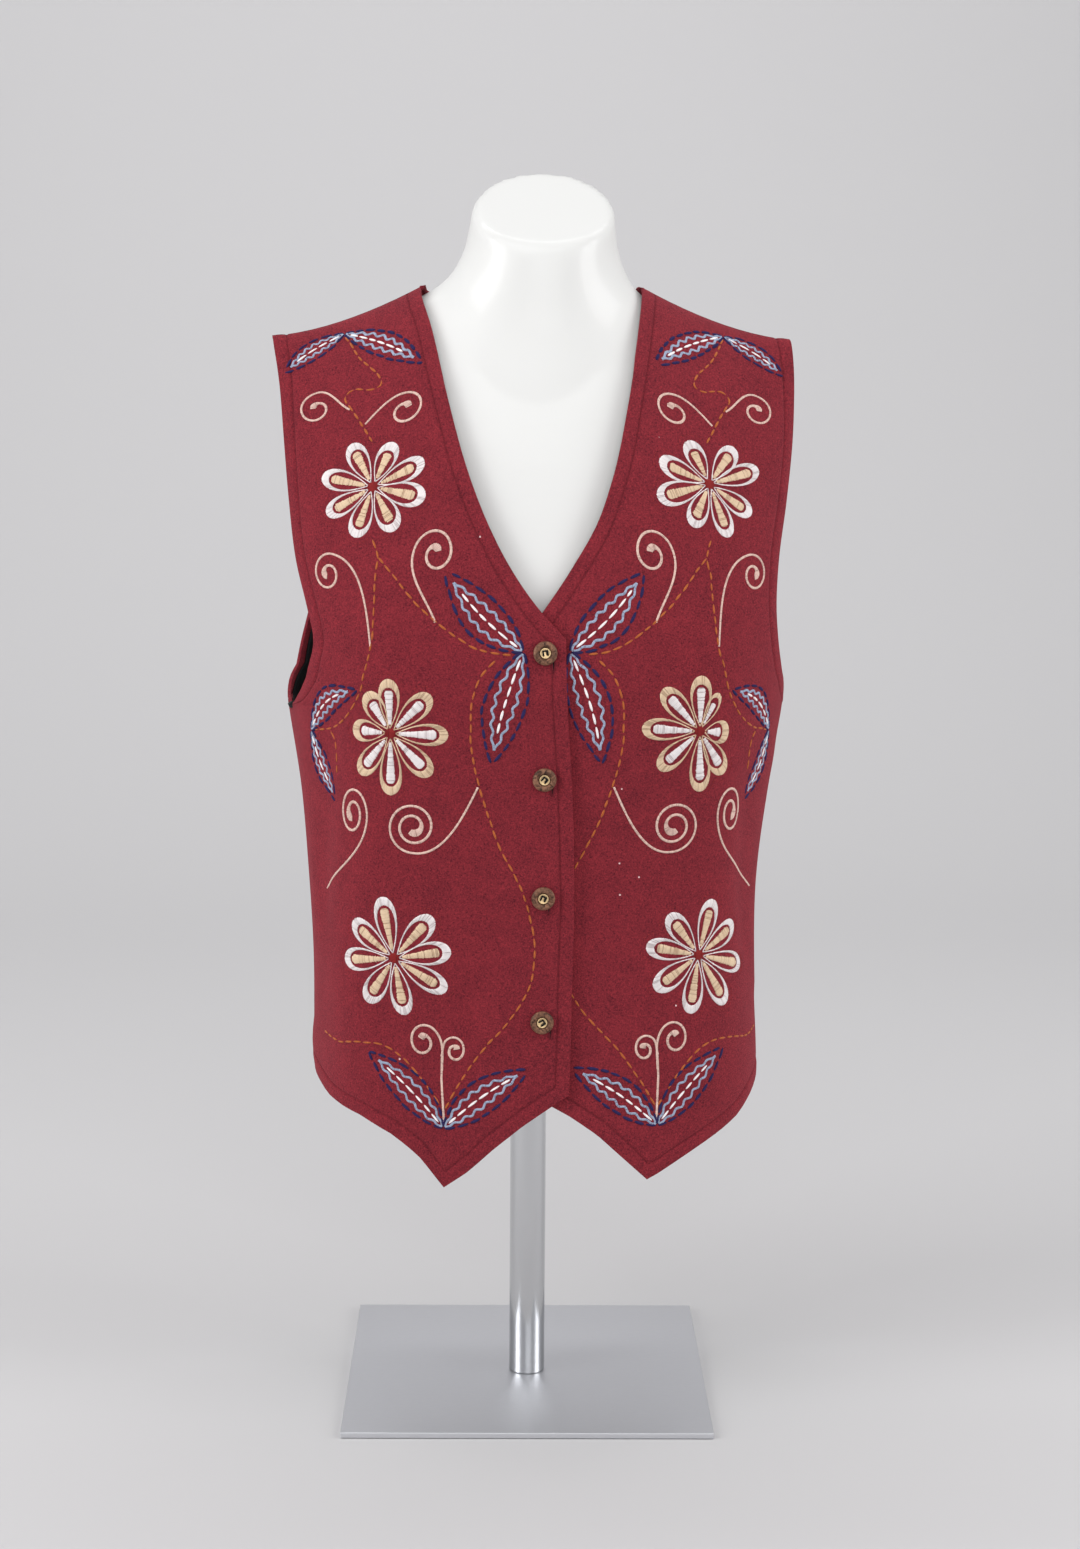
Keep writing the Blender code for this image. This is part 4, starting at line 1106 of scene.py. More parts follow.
# %% Button shapes
BUTTON_X, BUTTON_LEVELS = 1.6 * MM, (0.5372, 0.4523, 0.3719, 0.2867)
BUTTON_TURNS = (8, -38, -22, -60)
BUTTON_RADIUS, BUTTON_HEIGHT, BUTTON_CLEARANCE = 7.9 * MM, 3.4 * MM, 0.5 * MM
Profile = namedtuple("Profile", "radius height")
RIM_PROFILE = (
    Profile(0.60, 0.00),
    Profile(0.86, 0.04),
    Profile(0.96, 0.22),
    Profile(1.00, 0.45),
    Profile(0.98, 0.66),
    Profile(0.90, 0.86),
    Profile(0.78, 0.97),
    Profile(0.68, 0.99),
    Profile(0.58, 0.90),
    Profile(0.52, 0.76),
    Profile(0.50, 0.50),
    Profile(0.49, 0.36),
    Profile(0.30, 0.34),
)
MIDDLE_PROFILE = (
    Profile(0.30, 0.38),
    Profile(0.435, 0.38),
    Profile(0.445, 0.66),
    Profile(0.435, 0.72),
    Profile(0.40, 0.73),
    Profile(0.34, 0.66),
    Profile(0.20, 0.64),
)
HOLE_OFFSET, HOLE_RADIUS, THREAD_RADIUS = 1.45 * MM, 0.6 * MM, 0.58 * MM
NICK_PLACE, NICK_SIZE = Profile(0.78, 0.95), (0.5 * BUTTON_RADIUS, 0.7 * MM, 0.35 * BUTTON_HEIGHT, 1)


def button_place(level, spin):
    """Where a button sits: its back face just clear of the cloth, its face along the normal."""
    turn = turn_at(BUTTON_X - column(SECTIONS, "shift", level), level)
    point, normal = Vector(torso(turn, level)), Vector(outward(turn, level))
    turned_to = normal.to_track_quat("Z", "Y").to_matrix().to_4x4()
    return (Matrix.Translation(point + normal * BUTTON_CLEARANCE) @ turned_to
            @ Matrix.Rotation(math.radians(spin), 4, "Z"))


def turned_piece(profile, sides):
    """A round piece turned from a profile given as shares of the button's radius and height."""
    return lofted(np.array([circle_of(row.radius * BUTTON_RADIUS, row.height * BUTTON_HEIGHT, sides)
                            for row in profile]))


def cut_away(piece, cutter):
    """Take one piece's shape out of another."""
    applied(piece, "BOOLEAN", operation="DIFFERENCE", object=cutter, solver="EXACT")
    bpy.data.objects.remove(cutter, do_unlink=True)


horn, _, _, _ = napped("polished_horn", srgb(48, 31, 26), srgb(142, 102, 80), 330, 0.25, 0.32)
brass = steel_material("sunk_brass", srgb(244, 214, 164), 0.42, (6, 6, 6), 0.3)
black_thread, _, _, _ = napped("black_thread", srgb(12, 11, 12), srgb(30, 28, 30), 2600, 0.6, 0.6)

rim = turned_piece(RIM_PROFILE, 48)
bpy.ops.mesh.primitive_cube_add(size=1)
nick = bpy.context.object
nick_place = (NICK_PLACE.radius * BUTTON_RADIUS, 0, NICK_PLACE.height * BUTTON_HEIGHT)
nick.data.transform(Matrix.Translation(nick_place) @ Matrix.Diagonal(NICK_SIZE))
cut_away(rim, nick)
finished(rim, "button_rim_pattern", horn)
middle = turned_piece(MIDDLE_PROFILE, 40)
for x in (-HOLE_OFFSET, HOLE_OFFSET):
    for y in (-HOLE_OFFSET, HOLE_OFFSET):
        hole = lofted(np.array([circle_of(HOLE_RADIUS, share * BUTTON_HEIGHT, 14, (x, y))
                                for share in (0.4, 1.0)]))
        cut_away(middle, hole)
finished(middle, "button_middle_pattern", brass)
print("a button's horn has", triangles(rim), "triangles and its middle", triangles(middle))

# %% [markdown]
# The thread that holds a button runs up through one hole and down through the next, so it shows as
# short bars on the brass, a little arched, that dive into the holes at both ends.

# %% Button thread and placing
BAR_PLACES, BAR_SIDES, BAR_TAPER, BAR_REACH = 9, 10, 0.25, 1.1
BAR_LEVEL, BAR_ARCH, BAR_DIVE = 0.70 * BUTTON_HEIGHT, 0.35 * MM, 0.5 * MM


def thread_bar(offset, across=False):
    """A short bar of black thread from one hole to the next, up the button or across it."""
    rings = []
    for t in np.linspace(-1, 1, BAR_PLACES):
        ring = circle_of(THREAD_RADIUS * (1 - BAR_TAPER * t * t), 0, BAR_SIDES)
        height = BAR_LEVEL + BAR_ARCH * (1 - t * t) - (BAR_DIVE if abs(t) == 1 else 0)
        along = np.full(BAR_SIDES, t * HOLE_OFFSET * BAR_REACH)
        rings.append(np.stack([offset + ring[:, 0], along, height + ring[:, 1]], -1))
    rings = np.array(rings)
    return lofted(rings[..., [1, 0, 2]] if across else rings)


bars = [thread_bar(-HOLE_OFFSET), thread_bar(HOLE_OFFSET), thread_bar(HOLE_OFFSET, across=True)]
deselect()
for bar in bars:
    bar.select_set(True)
bpy.context.view_layer.objects.active = bars[0]
bpy.ops.object.join()
thread = finished(bars[0], "button_thread_pattern", black_thread)

for number, (level, spin) in enumerate(zip(BUTTON_LEVELS, BUTTON_TURNS), 1):
    place = button_place(level, spin)
    for pattern, name, slot_name, stands_for in (
            (rim, "horn_button", "horn", f"button_{number}"),
            (middle, "brass_middle", "brass", f"button_middle_{number}"),
            (thread, "button_thread", "lining", None)):
        copy = bpy.data.objects.new(f"{name}_{number}", pattern.data.copy())
        bpy.context.scene.collection.objects.link(copy)
        copy.data.transform(place)
        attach(copy, "root")
        if stands_for:
            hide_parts(stands_for)
for pattern in (rim, middle, thread):
    bpy.data.objects.remove(pattern, do_unlink=True)
print("buttons are", round(2000 * BUTTON_RADIUS, 1), "mm across")

# %% [markdown]
# ## A flat pattern for the needlework
#
# An embroiderer draws on flat cloth. So the needlework is drawn here in flat millimetres: across
# from the middle of the body, and up the cloth. A picture wrapped round the body would stretch at
# the sides. Here a table of arc lengths finds the place on the curved front, so sizes stay true.

# %% From the flat pattern to the cloth
TABLE_TURNS = np.linspace(-1.75, 1.75, 501)
TABLE_LEVELS = np.linspace(0.150, TOP - 0.0005, 500)
TABLE_ACROSS = np.arange(-0.260, 0.2601, 0.001)
table_points = torso(TABLE_TURNS[None, :], TABLE_LEVELS[:, None])
table_run = np.cumsum(np.linalg.norm(np.diff(table_points, axis=1), axis=-1), axis=1)
table_run = np.concatenate([np.zeros((len(TABLE_LEVELS), 1)), table_run], axis=1)
table_run -= table_run[:, len(TABLE_TURNS) // 2][:, None]
TURN_TABLE = np.array([np.interp(TABLE_ACROSS, run, TABLE_TURNS) for run in table_run])
height_run = np.zeros(len(TABLE_LEVELS))
for degrees in (-40, 40):
    line = table_points[:, int(np.argmin(np.abs(TABLE_TURNS - math.radians(degrees))))]
    height_run[1:] += np.cumsum(np.linalg.norm(np.diff(line, axis=0), axis=-1)) / 2
CLOTH_HEIGHT = TABLE_LEVELS[0] + height_run


def on_cloth(across, up, lift, side):
    """Points over the cloth: across and up in the flat pattern and lift above it, all in metres."""
    level = np.interp(up, CLOTH_HEIGHT, TABLE_LEVELS)
    row = np.interp(level, TABLE_LEVELS, np.arange(len(TABLE_LEVELS)))
    spacing = TABLE_ACROSS[1] - TABLE_ACROSS[0]
    step = np.clip((across - TABLE_ACROSS[0]) / spacing, 0, len(TABLE_ACROSS) - 1.001)
    row0 = np.clip(row.astype(int), 0, len(TABLE_LEVELS) - 2)
    step0 = step.astype(int)
    r, s = row - row0, step - step0
    turn = ((1 - r) * ((1 - s) * TURN_TABLE[row0, step0] + s * TURN_TABLE[row0, step0 + 1])
            + r * ((1 - s) * TURN_TABLE[row0 + 1, step0] + s * TURN_TABLE[row0 + 1, step0 + 1]))
    if side > 0:
        lift = lift - under_lap(turn, level)
    return torso(turn, level) + outward(turn, level) * lift[..., None]


print("the flat pattern runs", round(CLOTH_HEIGHT[-1] - CLOTH_HEIGHT[0], 3), "m up the cloth")

# %% [markdown]
# ## Threads
#
# Satin stitch is a row of threads laid side by side across a band, so each thread is a small ridge
# and the band is crowned. A bump texture would look painted from the side, so the ridges are real:
# each thread is a high ring of points, and between two threads lies a low one, now and then sunk
# into the cloth. Random numbers make the ends and heights of the threads a little uneven.

# %% Satin stitch
THREAD_PITCH, LOW_INSET = 0.90 * MM, 0.10 * MM
FULL_HEIGHT_WIDTH, FULL_PAINTED_SHADE_WIDTH = 1.6 * MM, 2.6 * MM
LOW_HEIGHTS, PAINTED_SHADE_TOP = (0.45, 0.45, 0.30, -0.15), 0.75
BAND_SHARES = np.array([0.0, 0.10, 0.30, 0.5, 0.70, 0.90, 1.0])
BAND_CROWN = np.array([-0.25, 0.45, 0.85, 1.0, 0.85, 0.45, -0.25])


def satin_band(start, end, height, ragged=0.12 * MM):
    """Rings for threads that each run from a point of one edge to the same point of the other."""
    run = np.linalg.norm(np.diff((start + end) / 2, axis=0), axis=-1)
    wide = np.linalg.norm(np.diff(start, axis=0), axis=-1)
    along = np.concatenate([[0], np.cumsum(np.maximum(run, wide))])
    count = max(int(along[-1] / THREAD_PITCH), 2)
    places = np.linspace(0, along[-1], 2 * count + 1)
    rings = []
    firsts, lasts = read_at(places, along, start), read_at(places, along, end)
    for index, (first, last) in enumerate(zip(firsts, lasts)):
        ridge = index % 2
        width = np.linalg.norm(last - first) + 1e-9
        reach = dice.gauss(0, ragged) if ridge else -LOW_INSET
        side = (last - first) / width
        first, last = first - side * reach, last + side * reach
        flat = first + (last - first) * BAND_SHARES[:, None]
        low = dice.choice(LOW_HEIGHTS)
        top = height * min(1, width / FULL_HEIGHT_WIDTH) * (dice.uniform(0.85, 1.1) if ridge else low)
        # Low rings get painted shade, most where the thread is sunk into the cloth.
        dark = 0.0 if ridge else (PAINTED_SHADE_TOP - low) * min(1, width / FULL_PAINTED_SHADE_WIDTH)
        shade = np.full(len(flat), dark)
        rings.append(np.column_stack([flat, top * BAND_CROWN, shade]))
    return np.array(rings)


def along_path(path, spacing):
    """A path's points at even spacing, and its unit normals."""
    run = run_along(path)
    places = np.linspace(0, run[-1], max(int(run[-1] / spacing), 2) + 1)
    points = read_at(places, run, path)
    ahead = np.gradient(points, axis=0)
    ahead = ahead / (np.linalg.norm(ahead, axis=-1, keepdims=True) + 1e-12)
    return points, np.stack([-ahead[:, 1], ahead[:, 0]], -1), places


def satin_line(path, width, height, taper=None):
    """A narrow satin band that follows a path."""
    points, normals, places = along_path(path, 0.8 * MM)
    half = np.full(len(points), width / 2)
    if taper is not None:
        half = width / 2 * taper(places / places[-1])
    aside = normals * half[:, None]
    return satin_band(points + aside, points - aside, height, 0.08 * MM)


print("a satin band has a thread every", round(1000 * THREAD_PITCH, 2), "mm")

# %% [markdown]
# Running stitch is a line of short dashes, where the thread comes up and goes down again. Each dash
# is a few half rings that swell in its middle, and no two have quite the same length and place.

# %% Running stitch
DASH_RING = np.array([(-1, -0.3), (-0.75, 0.45), (0, 0.9), (0.75, 0.45), (1, -0.3)])
DASH_SHARES = np.array([0, 0.12, 0.35, 0.65, 0.88, 1.0])
DASH_SWELL = np.array([0.25, 0.75, 1.0, 1.0, 0.75, 0.25])
Stitch = namedtuple("Stitch", "dash gap width height wander")


def running_stitch(path, dash, gap, width, height, wander):
    """Rounded dashes along a path, each slightly uneven."""
    run = run_along(path)
    blocks, place = [], gap / 2
    swell = DASH_SWELL[:, None]
    while place + dash * 0.6 < run[-1]:
        length = min(dash * dice.uniform(0.85, 1.15), run[-1] - place)
        points = read_at(place + length * DASH_SHARES, run, path)
        ahead = points[-1] - points[0]
        ahead = ahead / (np.linalg.norm(ahead) + 1e-12)
        normal = np.array([-ahead[1], ahead[0]])
        points = points + normal * dice.gauss(0, wander)
        size = dice.uniform(0.88, 1.1)
        aside = (DASH_RING[:, 0] * width / 2 * size)[None, :, None]
        flat = points[:, None] + normal * aside * swell[..., None]
        lift = height * DASH_RING[None, :, 1] * swell
        # Painted shade at the ends of each dash, where the thread goes down into the cloth.
        shade = np.broadcast_to(0.5 - 0.5 * swell, lift.shape)
        blocks.append(np.concatenate([flat, lift[..., None], shade[..., None]], -1))
        place += length + gap * dice.uniform(0.8, 1.25)
    return blocks


print("a dash is made of", DASH_SHARES.size, "half rings of", len(DASH_RING), "points")

# %% [markdown]
# A primitive for each of the thousands of stitches would be slow. So all the stitches of one thread
# and one kind become one mesh, built straight from their points. Each point also keeps how deep it
# lies between the threads, so that the material can paint shade there.

# %% From stitches to one mesh
def needlework(name, blocks, material, side):
    """One mesh of many stitches. Each block is rings of across, up, lift and shade in the flat
    pattern of a side, or of x, y, z and shade where they have no side."""
    points, faces, start = [], [], 0
    for block in blocks:
        rings, sides = block.shape[:2]
        points.append(block.reshape(-1, 4))
        index = start + np.arange(rings * sides).reshape(rings, sides)
        after = np.roll(index, -1, axis=1)
        quads = np.stack([index[:-1], after[:-1], after[1:], index[1:]], -1).reshape(-1, 4)
        faces += [tuple(quad) for quad in quads.tolist()]
        faces += [tuple(index[0, ::-1].tolist()), tuple(index[-1].tolist())]
        start += rings * sides
    points = np.concatenate(points)
    places = points[:, :3] if side is None else on_cloth(*points.T[:3], side)
    mesh = bpy.data.meshes.new(name)
    mesh.from_pydata(places.tolist(), [], faces)
    # This value tells the material where to paint shade.
    mark = mesh.attributes.new("painted_shade_between_threads", "FLOAT", "POINT")
    mark.data.foreach_set("value", points[:, 3].astype(np.float32))
    piece = bpy.data.objects.new(name, mesh)
    bpy.context.scene.collection.objects.link(piece)
    deselect()
    bpy.context.view_layer.objects.active = piece
    piece.select_set(True)
    bpy.ops.object.mode_set(mode="EDIT")
    bpy.ops.mesh.select_all(action="SELECT")
    bpy.ops.mesh.normals_make_consistent(inside=False)
    bpy.ops.object.mode_set(mode="OBJECT")
    finished(piece, name, material)
    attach(piece, "root")
    print(name, "has", len(blocks), "stitched lines and", triangles(piece), "triangles")
    return piece


chest_point = on_cloth(np.zeros(1), np.full(1, 0.5), np.zeros(1), -1)[0]
print("half a metre up the flat pattern, its middle lies at", chest_point.round(3))

# %% [markdown]
# The threads are the nap again at a finer scale. Most are a little bright, as silk is, and the
# navy and burgundy threads are dull.

# %% Thread materials
def thread_material(name, colour, shade, gap, roughness=0.5, sheen=0.1):
    """Embroidery thread: a clean colour over its plies, and a darker one between the threads, painted
    shade.
    """
    made, tree, shader, blend = napped(name, srgb(*shade), srgb(*colour), 2200, 0.5, roughness, sheen)
    between = node(tree, "ShaderNodeAttribute", attribute_name="painted_shade_between_threads")
    painted_shade_mix = node(tree, "ShaderNodeMix", data_type="RGBA")
    # The gap colour is painted shade between the threads.
    painted_shade_mix.inputs[7].default_value = srgb(*gap)
    wire(tree, (between, "Fac", painted_shade_mix, "Factor"), (blend, 2, painted_shade_mix, 6),
         (painted_shade_mix, 2, shader, "Base Color"))
    return made


# The third colour of each thread is its painted shade between threads and at the ends of dashes.
white_silk = thread_material("white_silk", (255, 251, 250), (243, 236, 236), (178, 150, 152))
cream_silk = thread_material("cream_silk", (248, 226, 194), (230, 200, 164), (164, 114, 88))
navy_wool = thread_material("navy_thread", (54, 46, 94), (30, 26, 62), (24, 16, 40), 0.8, 0.0)
blue_silk = thread_material("light_blue_thread", (184, 196, 216), (146, 160, 188), (92, 94, 124))
rose_silk = thread_material("pale_rose_thread", (246, 220, 206), (220, 182, 168), (150, 92, 86))
ochre_silk = thread_material("ochre_thread", (196, 108, 52), (156, 76, 36), (110, 46, 28), 0.6)
red_silk = thread_material("red_thread", (158, 42, 40), (128, 30, 32), (92, 18, 24), 0.7)
burgundy_silk = thread_material("burgundy_thread", (118, 36, 46), (96, 28, 37), (72, 18, 27), 0.8, 0.0)
print("there are", len(bpy.data.materials), "materials so far")

# %% [markdown]
# ## Edge stitching and buttonholes
#
# The folded edges are sewn down with small stitches of the cloth's own colour, sunk in their
# groove. Behind each button the end of an upright buttonhole shows, bound in the same thread.

# %% Edge stitching
LINE = int(np.argmin(np.abs(EDGE_STEPS - STITCH_LINE)))
EDGE_STITCH = Stitch(2.5 * MM, 0.9 * MM, 0.75 * MM, 0.4 * MM, 0.08 * MM)


def edge_stitches(places, lift):
    """Small stitches along a line of grid places, as rings of x, y, z and shade."""
    turn, level = places[:, 0], places[:, 1]
    normal = outward(turn, level)
    line = torso(turn, level) + normal * lift[:, None]
    run = run_along(line)
    beside = np.cross(normal, np.gradient(line, axis=0))
    beside = beside / np.linalg.norm(beside, axis=-1, keepdims=True)
    straight = np.array([[0, 0], [run[-1], 0]])
    blocks = []
    for block in running_stitch(straight, *EDGE_STITCH):
        along = block[..., 0]
        laid = (read_at(along, run, line) + read_at(along, run, beside) * block[..., 1:2]
                + read_at(along, run, normal) * block[..., 2:3])
        blocks.append(np.concatenate([laid, block[..., 3:]], -1))
    return blocks


for name, places, rise in (("right", right_places[:, ::-1], right_rise[:, ::-1]),
                           ("left", left_places, left_rise - left_setback)):
    lines = ((slice(LINE, None), LINE), (LINE, slice(LINE, -LINE)),
             (slice(corner_row, None), -1 - LINE))
    blocks = [block for line in lines for block in edge_stitches(places[line], rise[line])]
    needlework(f"edge_stitches_{name}", blocks, burgundy_silk, None)
back_lines = ((slice(corner_row, None), LINE), (slice(corner_row, None), -1 - LINE),
              (LINE, slice(LINE, -LINE)), (-1 - LINE, slice(neck_low, neck_high)))
blocks = [block for line in back_lines for block in edge_stitches(back_places[line], back_rise[line])]
needlework("edge_stitches_back", blocks, burgundy_silk, None)

# %% Buttonholes
HOLE_LENGTH, HOLE_HALF, HOLE_SHIFT = 14.0, 1.1, (2.4, -4.6)
HOLE_THREAD, SLIT_THREAD = (1.5 * MM, 0.45 * MM), (0.9 * MM, 0.25 * MM)

holes, slits = [], []
turns = np.linspace(0, 2 * np.pi, 80)
oval = np.stack([HOLE_HALF * np.sin(turns), HOLE_LENGTH / 2 * np.cos(turns)], -1)
slit = oval[:40] * [0, 1]
for level in BUTTON_LEVELS:
    up = np.interp(level, TABLE_LEVELS, CLOTH_HEIGHT)
    centre = np.array([BUTTON_X * 1000 + HOLE_SHIFT[0], up * 1000 + HOLE_SHIFT[1]])
    holes.append(satin_line((centre + oval) * MM, *HOLE_THREAD))
    slits.append(satin_line((centre + slit) * MM, *SLIT_THREAD))
needlework("buttonholes", holes, burgundy_silk, -1)
needlework("buttonhole_slits", slits, black_thread, -1)

# %% [markdown]
# ## Flowers
#
# Each flower has eight petals. A petal is a satin loop, thin at its sides and thick at its tip,
# with a plain gap and a satin teardrop inside it. One formula draws every outline: a teardrop
# curve, given its length and width. Eight equal petals would look stamped, so each one has its own
# angle in degrees and length in millimetres. A third value makes a petal narrow, where the cloth
# has a crease.

# %% Table of the flowers
Flower = namedtuple("Flower", "side across up loop drop petals")
FLOWERS = (
    Flower("right", -114.5, 648.0, "white", "cream", (
        (62, 31.5), (14, 37.5), (-23, 39.5), (-65, 36.5),
        (-112, 36.5), (-157, 38.0), (160, 40.0), (115, 37.5))),
    Flower("right", -104.5, 481.5, "cream", "white", (
        (92, 36.5), (44, 38.5), (0, 39.5), (-44, 39.5),
        (-89, 42.0), (-129, 37.5), (178, 29.5), (124, 32.0))),
    Flower("right", -100.5, 328.5, "white", "cream", (
        (102, 42.5), (48, 40.5), (10, 40.0), (-30, 41.5),
        (-81, 39.5), (-124, 39.0), (-173, 41.5), (145, 39.5))),
    Flower("left", 115.5, 651.0, "white", "cream", (
        (118, 31.0), (56, 37.5), (24, 44.0), (-27, 37.5),
        (-69, 38.5), (-114, 35.5), (-155, 43.0), (169, 37.5))),
    Flower("left", 104.0, 482.5, "cream", "white", (
        (89, 37.5), (133, 40.0), (175, 41.5), (-140, 38.0),
        (-87, 41.5), (-55, 37.0), (-5, 24.0), (60, 29.0, 0.62))),
    Flower("left", 108.5, 328.5, "white", "cream", (
        (72, 39.5), (28, 39.0), (-16, 45.0), (-58, 43.5),
        (-100, 41.0), (-147, 39.5), (167, 39.5), (127, 37.5))),
)
print("there are", sum(len(flower.petals) for flower in FLOWERS), "petals")

# %% Petals
LOOP_HALF, LOOP_TIP, LOOP_SIDE = 7.9 * MM, 6.3 * MM, 1.9 * MM
LOOP_START, LOOP_BASE = 2.8 * MM, 1.6 * MM
DROP_START, DROP_END, DROP_HALF, DROP_BASE = 6.0 * MM, 7.8 * MM, 3.7 * MM, 0.30
DROP_SWELL, DROP_SHOULDER, DROP_RAGGED = 0.9, 0.86, 0.22 * MM
PETAL_HEIGHT, DROP_HEIGHT = 0.75 * MM, 0.85 * MM
ECHO_LONGER, ECHO_WIDER = 3.6 * MM, 3.0 * MM
CENTRE_RADIUS, CENTRE_EDGE, CENTRE_HEIGHT = 3.9 * MM, 0.4 * MM, 1.0 * MM


def teardrop(start, end, half_width, turns):
    """A teardrop curve on the x axis, from its point at start to its round end."""
    length = end - start
    x = start + length * (1 - np.cos(turns)) / 2
    y = half_width * 1.3 * np.sin(turns) * np.abs(np.sin(turns / 2))
    return np.stack([x, y], -1)


def swung(points, angle, centre):
    """Points turned by an angle and moved to a centre."""
    c, s = math.cos(angle), math.sin(angle)
    return points @ np.array([[c, s], [-s, c]]) + centre


def petal(flower, degrees, length, narrow=1.0):
    """The loop and the teardrop of one petal, and the faint stitches that echo it."""
    radius, angle = length * MM, math.radians(degrees)
    half = LOOP_HALF * narrow * dice.uniform(0.94, 1.04)
    centre = np.array([flower.across, flower.up]) * MM
    turns = np.linspace(math.radians(10), math.radians(350), 121)
    outer = teardrop(LOOP_START, radius, half, turns)
    inner = teardrop(LOOP_START + LOOP_BASE, radius - LOOP_TIP * narrow,
                     half - LOOP_SIDE * narrow, turns)
    loop = satin_band(swung(outer, angle, centre), swung(inner, angle, centre), PETAL_HEIGHT)
    share = np.linspace(0, 0.985, 60)
    wide = DROP_BASE + (1 - DROP_BASE) * share ** DROP_SWELL
    past = np.clip((share - DROP_SHOULDER) / (1 - DROP_SHOULDER), 0, 1)
    wide = DROP_HALF * narrow * wide * np.sqrt(1 - past ** 2)
    edge = np.stack([DROP_START + (radius - DROP_END - DROP_START) * share, wide], -1)
    drop = satin_band(swung(edge, angle, centre), swung(edge * [1, -1], angle, centre),
                      DROP_HEIGHT, DROP_RAGGED)
    echo_turns = np.linspace(math.radians(120), math.radians(240), 41)
    echo = teardrop(LOOP_START, radius + ECHO_LONGER, half + ECHO_WIDER, echo_turns)
    return loop, drop, swung(echo, angle, centre)


def flower_centre(flower):
    """A small round knot of satin threads."""
    x = np.linspace(-CENTRE_RADIUS, CENTRE_RADIUS, 15)
    y = np.sqrt(np.maximum(CENTRE_RADIUS ** 2 - x ** 2, CENTRE_EDGE ** 2))
    centre = np.array([flower.across, flower.up]) * MM
    return satin_band(np.stack([x, y], -1) + centre, np.stack([x, -y], -1) + centre, CENTRE_HEIGHT)


print("a loop is", round(2000 * LOOP_HALF, 1), "mm wide and its drop", round(2000 * DROP_HALF, 1), "mm")

# %% Stitch the flowers
ECHO_STITCH = Stitch(1.6 * MM, 1.3 * MM, 0.5 * MM, 0.28 * MM, 0.2 * MM)
sides = {"right": -1, "left": 1}
silks = {"white": white_silk, "cream": cream_silk}
echoes = {"right": [], "left": []}
for number, flower in enumerate(FLOWERS, 1):
    loops, drops = [], []
    for shape in flower.petals:
        loop, drop, echo = petal(flower, *shape)
        loops.append(loop)
        drops.append(drop)
        echoes[flower.side] += running_stitch(echo, *ECHO_STITCH)
    needlework(f"flower_{number}_loops", loops, silks[flower.loop], sides[flower.side])
    needlework(f"flower_{number}_drops", drops, silks[flower.drop], sides[flower.side])
    needlework(f"flower_{number}_centre", [flower_centre(flower)], red_silk, sides[flower.side])
for side, blocks in echoes.items():
    needlework(f"echo_stitches_{side}", blocks, red_silk, sides[side])

# %% [markdown]
# ## Leaves, curls and vines
#
# The two fronts mirror each other, so this part of the pattern is drawn once, for the wearer's
# right front, and flipped for the left one, where the lower motifs sit a little further out.

# %% Tables of leaves, curls and vines
Leaf = namedtuple("Leaf", "base_across base_up tip_across tip_up half_width bow")
LEAVES = (
    Leaf(-135.0, 772.0, -178.0, 748.5, 8.5, -0.08),
    Leaf(-135.0, 772.0, -79.0, 724.5, 8.5, 0.03),
    Leaf(-15.5, 535.0, -65.5, 583.5, 13.0, 0.05),
    Leaf(-15.5, 535.0, -36.5, 463.0, 13.5, -0.04),
    Leaf(-178.5, 477.0, -130.0, 509.0, 9.0, 0.12),
    Leaf(-178.5, 477.0, -154.0, 431.0, 8.0, -0.06),
    Leaf(-69.0, 213.0, -121.5, 261.5, 11.5, -0.04),
    Leaf(-69.0, 213.0, -11.0, 254.0, 11.5, 0.04),
)
Curl = namedtuple("Curl", "across up wide tall leave turns inner stem_across stem_up stem_angle")
CURLS = (
    Curl(-155, 714, 14, 13, 90, 1.2, 0.20, -131, 708, -35),
    Curl(-92, 696, 14, 12, 95, -1.2, 0.25, -120, 694, -140),
    Curl(-150, 590, 13, 15, 65, 1.5, 0.15, -118, 539, -85),
    Curl(-72, 596, 15, 17, 170, -1.4, 0.15, -73, 553, -70),
    Curl(-134, 425, 13, 19, -25, 1.8, 0.20, -170, 367, -140),
    Curl(-88, 419, 18, 18, -85, -2.1, 0.20, -45, 447, 65),
    Curl(-82, 272, 11, 13, 25, 1.3, 0.25, -69.5, 252, -90),
    Curl(-61, 266, 8, 10, 130, -1.3, 0.20, -70, 262, -110),
)
